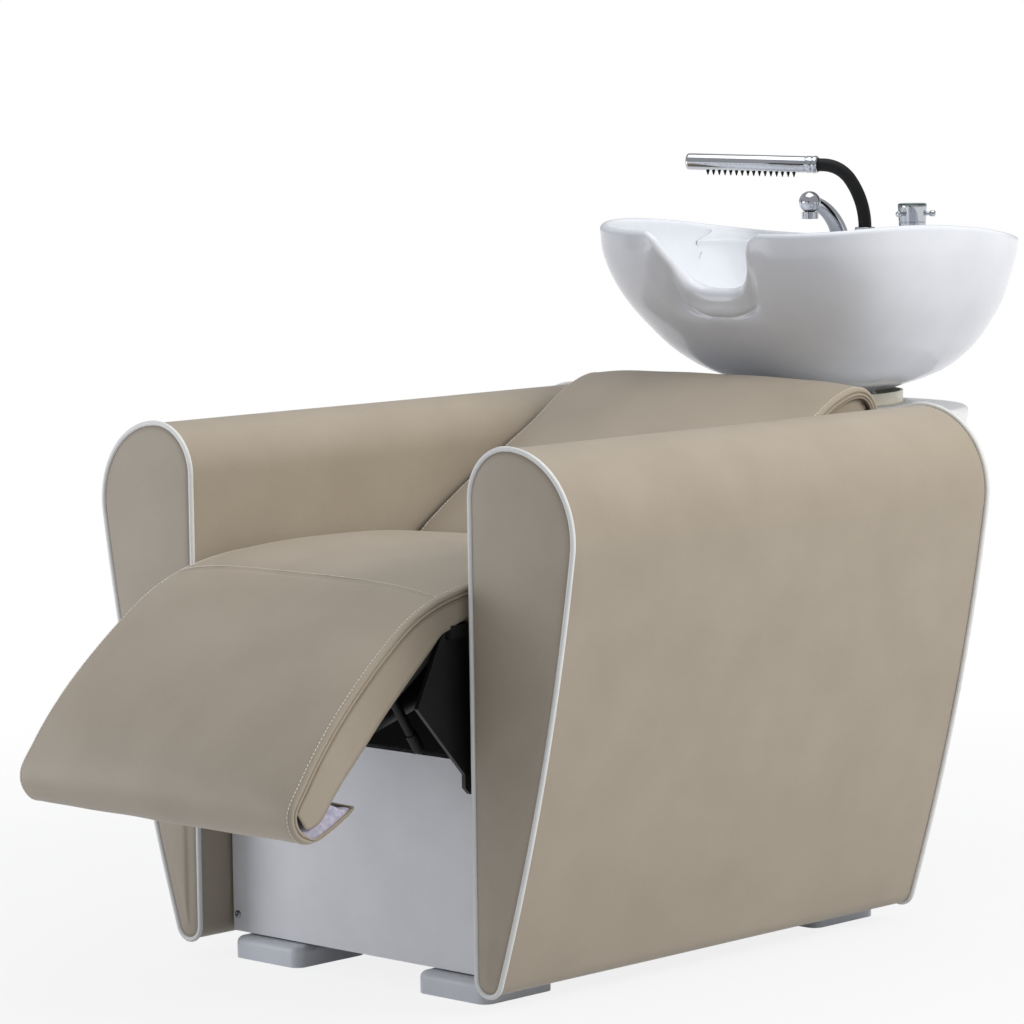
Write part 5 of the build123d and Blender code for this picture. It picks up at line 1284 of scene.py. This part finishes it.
# %% [markdown]
# ## Screws
# The front panel is held by two pan-head screws with a cross recess. A tree makes the head from a flattened
# dome, cuts the recess with two thin bars, and sets a copy on each point.

# %% A tree for pan-head screws
tree, given = start_tree("pan_head_screws", {"Radius": 0.005, "Height": 0.0026, "Lean": 0.0})
radius, height = given["Radius"], given["Height"]
dome = add(tree, "GeometryNodeMeshUVSphere", {"Segments": 24, "Rings": 12, "Radius": radius})
squeeze = add(tree, "ShaderNodeMath", {0: height, 1: radius}, operation="DIVIDE")
flat = add(tree, "ShaderNodeCombineXYZ", {0: 1.0, 1: 1.0, 2: squeeze.outputs[0]})
head = add(tree, "GeometryNodeTransform", {"Geometry": dome.outputs[0], "Scale": flat.outputs[0]})
slot_long = add(tree, "ShaderNodeMath", {0: radius, 1: 1.1}, operation="MULTIPLY").outputs[0]
slot_wide = add(tree, "ShaderNodeMath", {0: radius, 1: 0.24}, operation="MULTIPLY").outputs[0]
lift = add(tree, "ShaderNodeCombineXYZ", {2: height})
cross = []
for first, second in ((slot_long, slot_wide), (slot_wide, slot_long)):
    size = add(tree, "ShaderNodeCombineXYZ", {0: first, 1: second, 2: height})
    bar = add(tree, "GeometryNodeMeshCube", {"Size": size.outputs[0]})
    cross.append(add(tree, "GeometryNodeTransform", {"Geometry": bar.outputs[0],
                                                     "Translation": lift.outputs[0]}))
recess = add(tree, "GeometryNodeMeshBoolean", {"Mesh 1": head.outputs[0]}, operation="DIFFERENCE")
for bar in cross:
    feed(tree, recess, {"Mesh 2": bar.outputs[0]})
lean = add(tree, "ShaderNodeCombineXYZ", {0: given["Lean"]})
placed = add(tree, "GeometryNodeInstanceOnPoints", {"Points": given["Geometry"],
                                                    "Instance": recess.outputs[0],
                                                    "Rotation": lean.outputs[0]})
screw_tree = end_tree(tree, given, placed)
print("tree:", screw_tree.name)

# %% Two screws in the front panel
screw_low, screw_high = span("panel_screws")
panel_face = span("front_panel")[0][1]
places = [(side * (screw_high[0] - 5), panel_face, (screw_low[2] + screw_high[2]) / 2) for side in (-1, 1)]
screws = grow("panel_screw_heads", screw_tree, [([place], False) for place in places], zinc,
              radius=5.0 * MM, height=2.6 * MM, lean=math.pi / 2)
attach(screws, "base")
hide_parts("panel_screws")
print("screw heads:", len(places), "with", len(screws.data.polygons), "faces")

# %% [markdown]
# ## The felt at the back's head end
# Inside the fold at the head end, between the cover and the side panels, lies a strip of grey felt.

# %% Felt strip
x = np.linspace(-back_half + 5, back_half - 5, 90)
rows = []
for i in range(1, 17):
    depth = back_falls[i] + back_thick[i] - 1.0
    swell = 5.5 * math.sin(math.pi * i / 16) + 0.6
    soft = np.clip((back_half - 5 - abs(x)) / 2.5, 0, 1) ** 0.5 * (1 + 0.08 * np.sin(x * 1.7 + i))
    rows.append(pad_ring(back, i, x, depth + swell * soft, depth))
felt = piece("head_end_felt", rows, liner)
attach(felt, "base")
print("felt faces:", len(felt.data.polygons))

# %% [markdown]
# ## Dust cloth under the gap
# Upholsterers staple a strip of black cloth under the gap between seat and back, so that dust and daylight
# don't come through. It hangs a little between its two rows of staples.

# %% Dust cloth
x = np.linspace(-219.0, 219.0, 120)
rows = []
for t in np.linspace(0, 1, 22):
    hang = math.sin(math.pi * t)
    z = 442.4 + 3.2 * t - 8.0 * hang + 0.9 * hang * np.sin(x * 0.09)
    y = np.full(len(x), -104.0 + 74.0 * t)
    rows.append(np.vstack([np.column_stack([x, y, z]), np.column_stack([x, y, z - 1.2])[::-1]]))
gap_cloth = piece("gap_dust_cloth", rows, dust_cloth)
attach(gap_cloth, "base")
print("dust cloth faces:", len(gap_cloth.data.polygons))

# %% [markdown]
# ## Finishes for the solids that stay
# The rigid parts keep their imported shapes and only take a finish, each by what it is made of; the boards
# take black as painted shade.

# %% Finishes by the record's slots
by_slot = {
    "timber": plywood, "foot_plastic": foot_plastic, "black_steel": powder_black,
    "white_sheet": powder_white, "cabinet_sheet": enamel, "screw_steel": zinc, "bumper_rubber": rubber,
    "actuator_plastic": nylon, "bright_steel": drawn_steel, "control_plastic": control_abs,
    "sleeve_plastic": sleeve_plastic, "ceramic": glaze, "chrome": chrome, "cap_plastic": cap_plastic,
    "waste_plastic": drain_plastic, "brass": brass, "hose_rubber": rubber, "leatherette": taupe,
    "piping": piping_vinyl,
}
for part in frame["record"]["subparts"]:
    node, finish = frame["nodes"][part["node"]], by_slot[part["material_slot"]]
    node.data.materials.clear()
    # Boards get the black plywood, which paints the shade of the gaps inside the bed
    node.data.materials.append(shade_black_board if part["node"].endswith("_board") else finish)
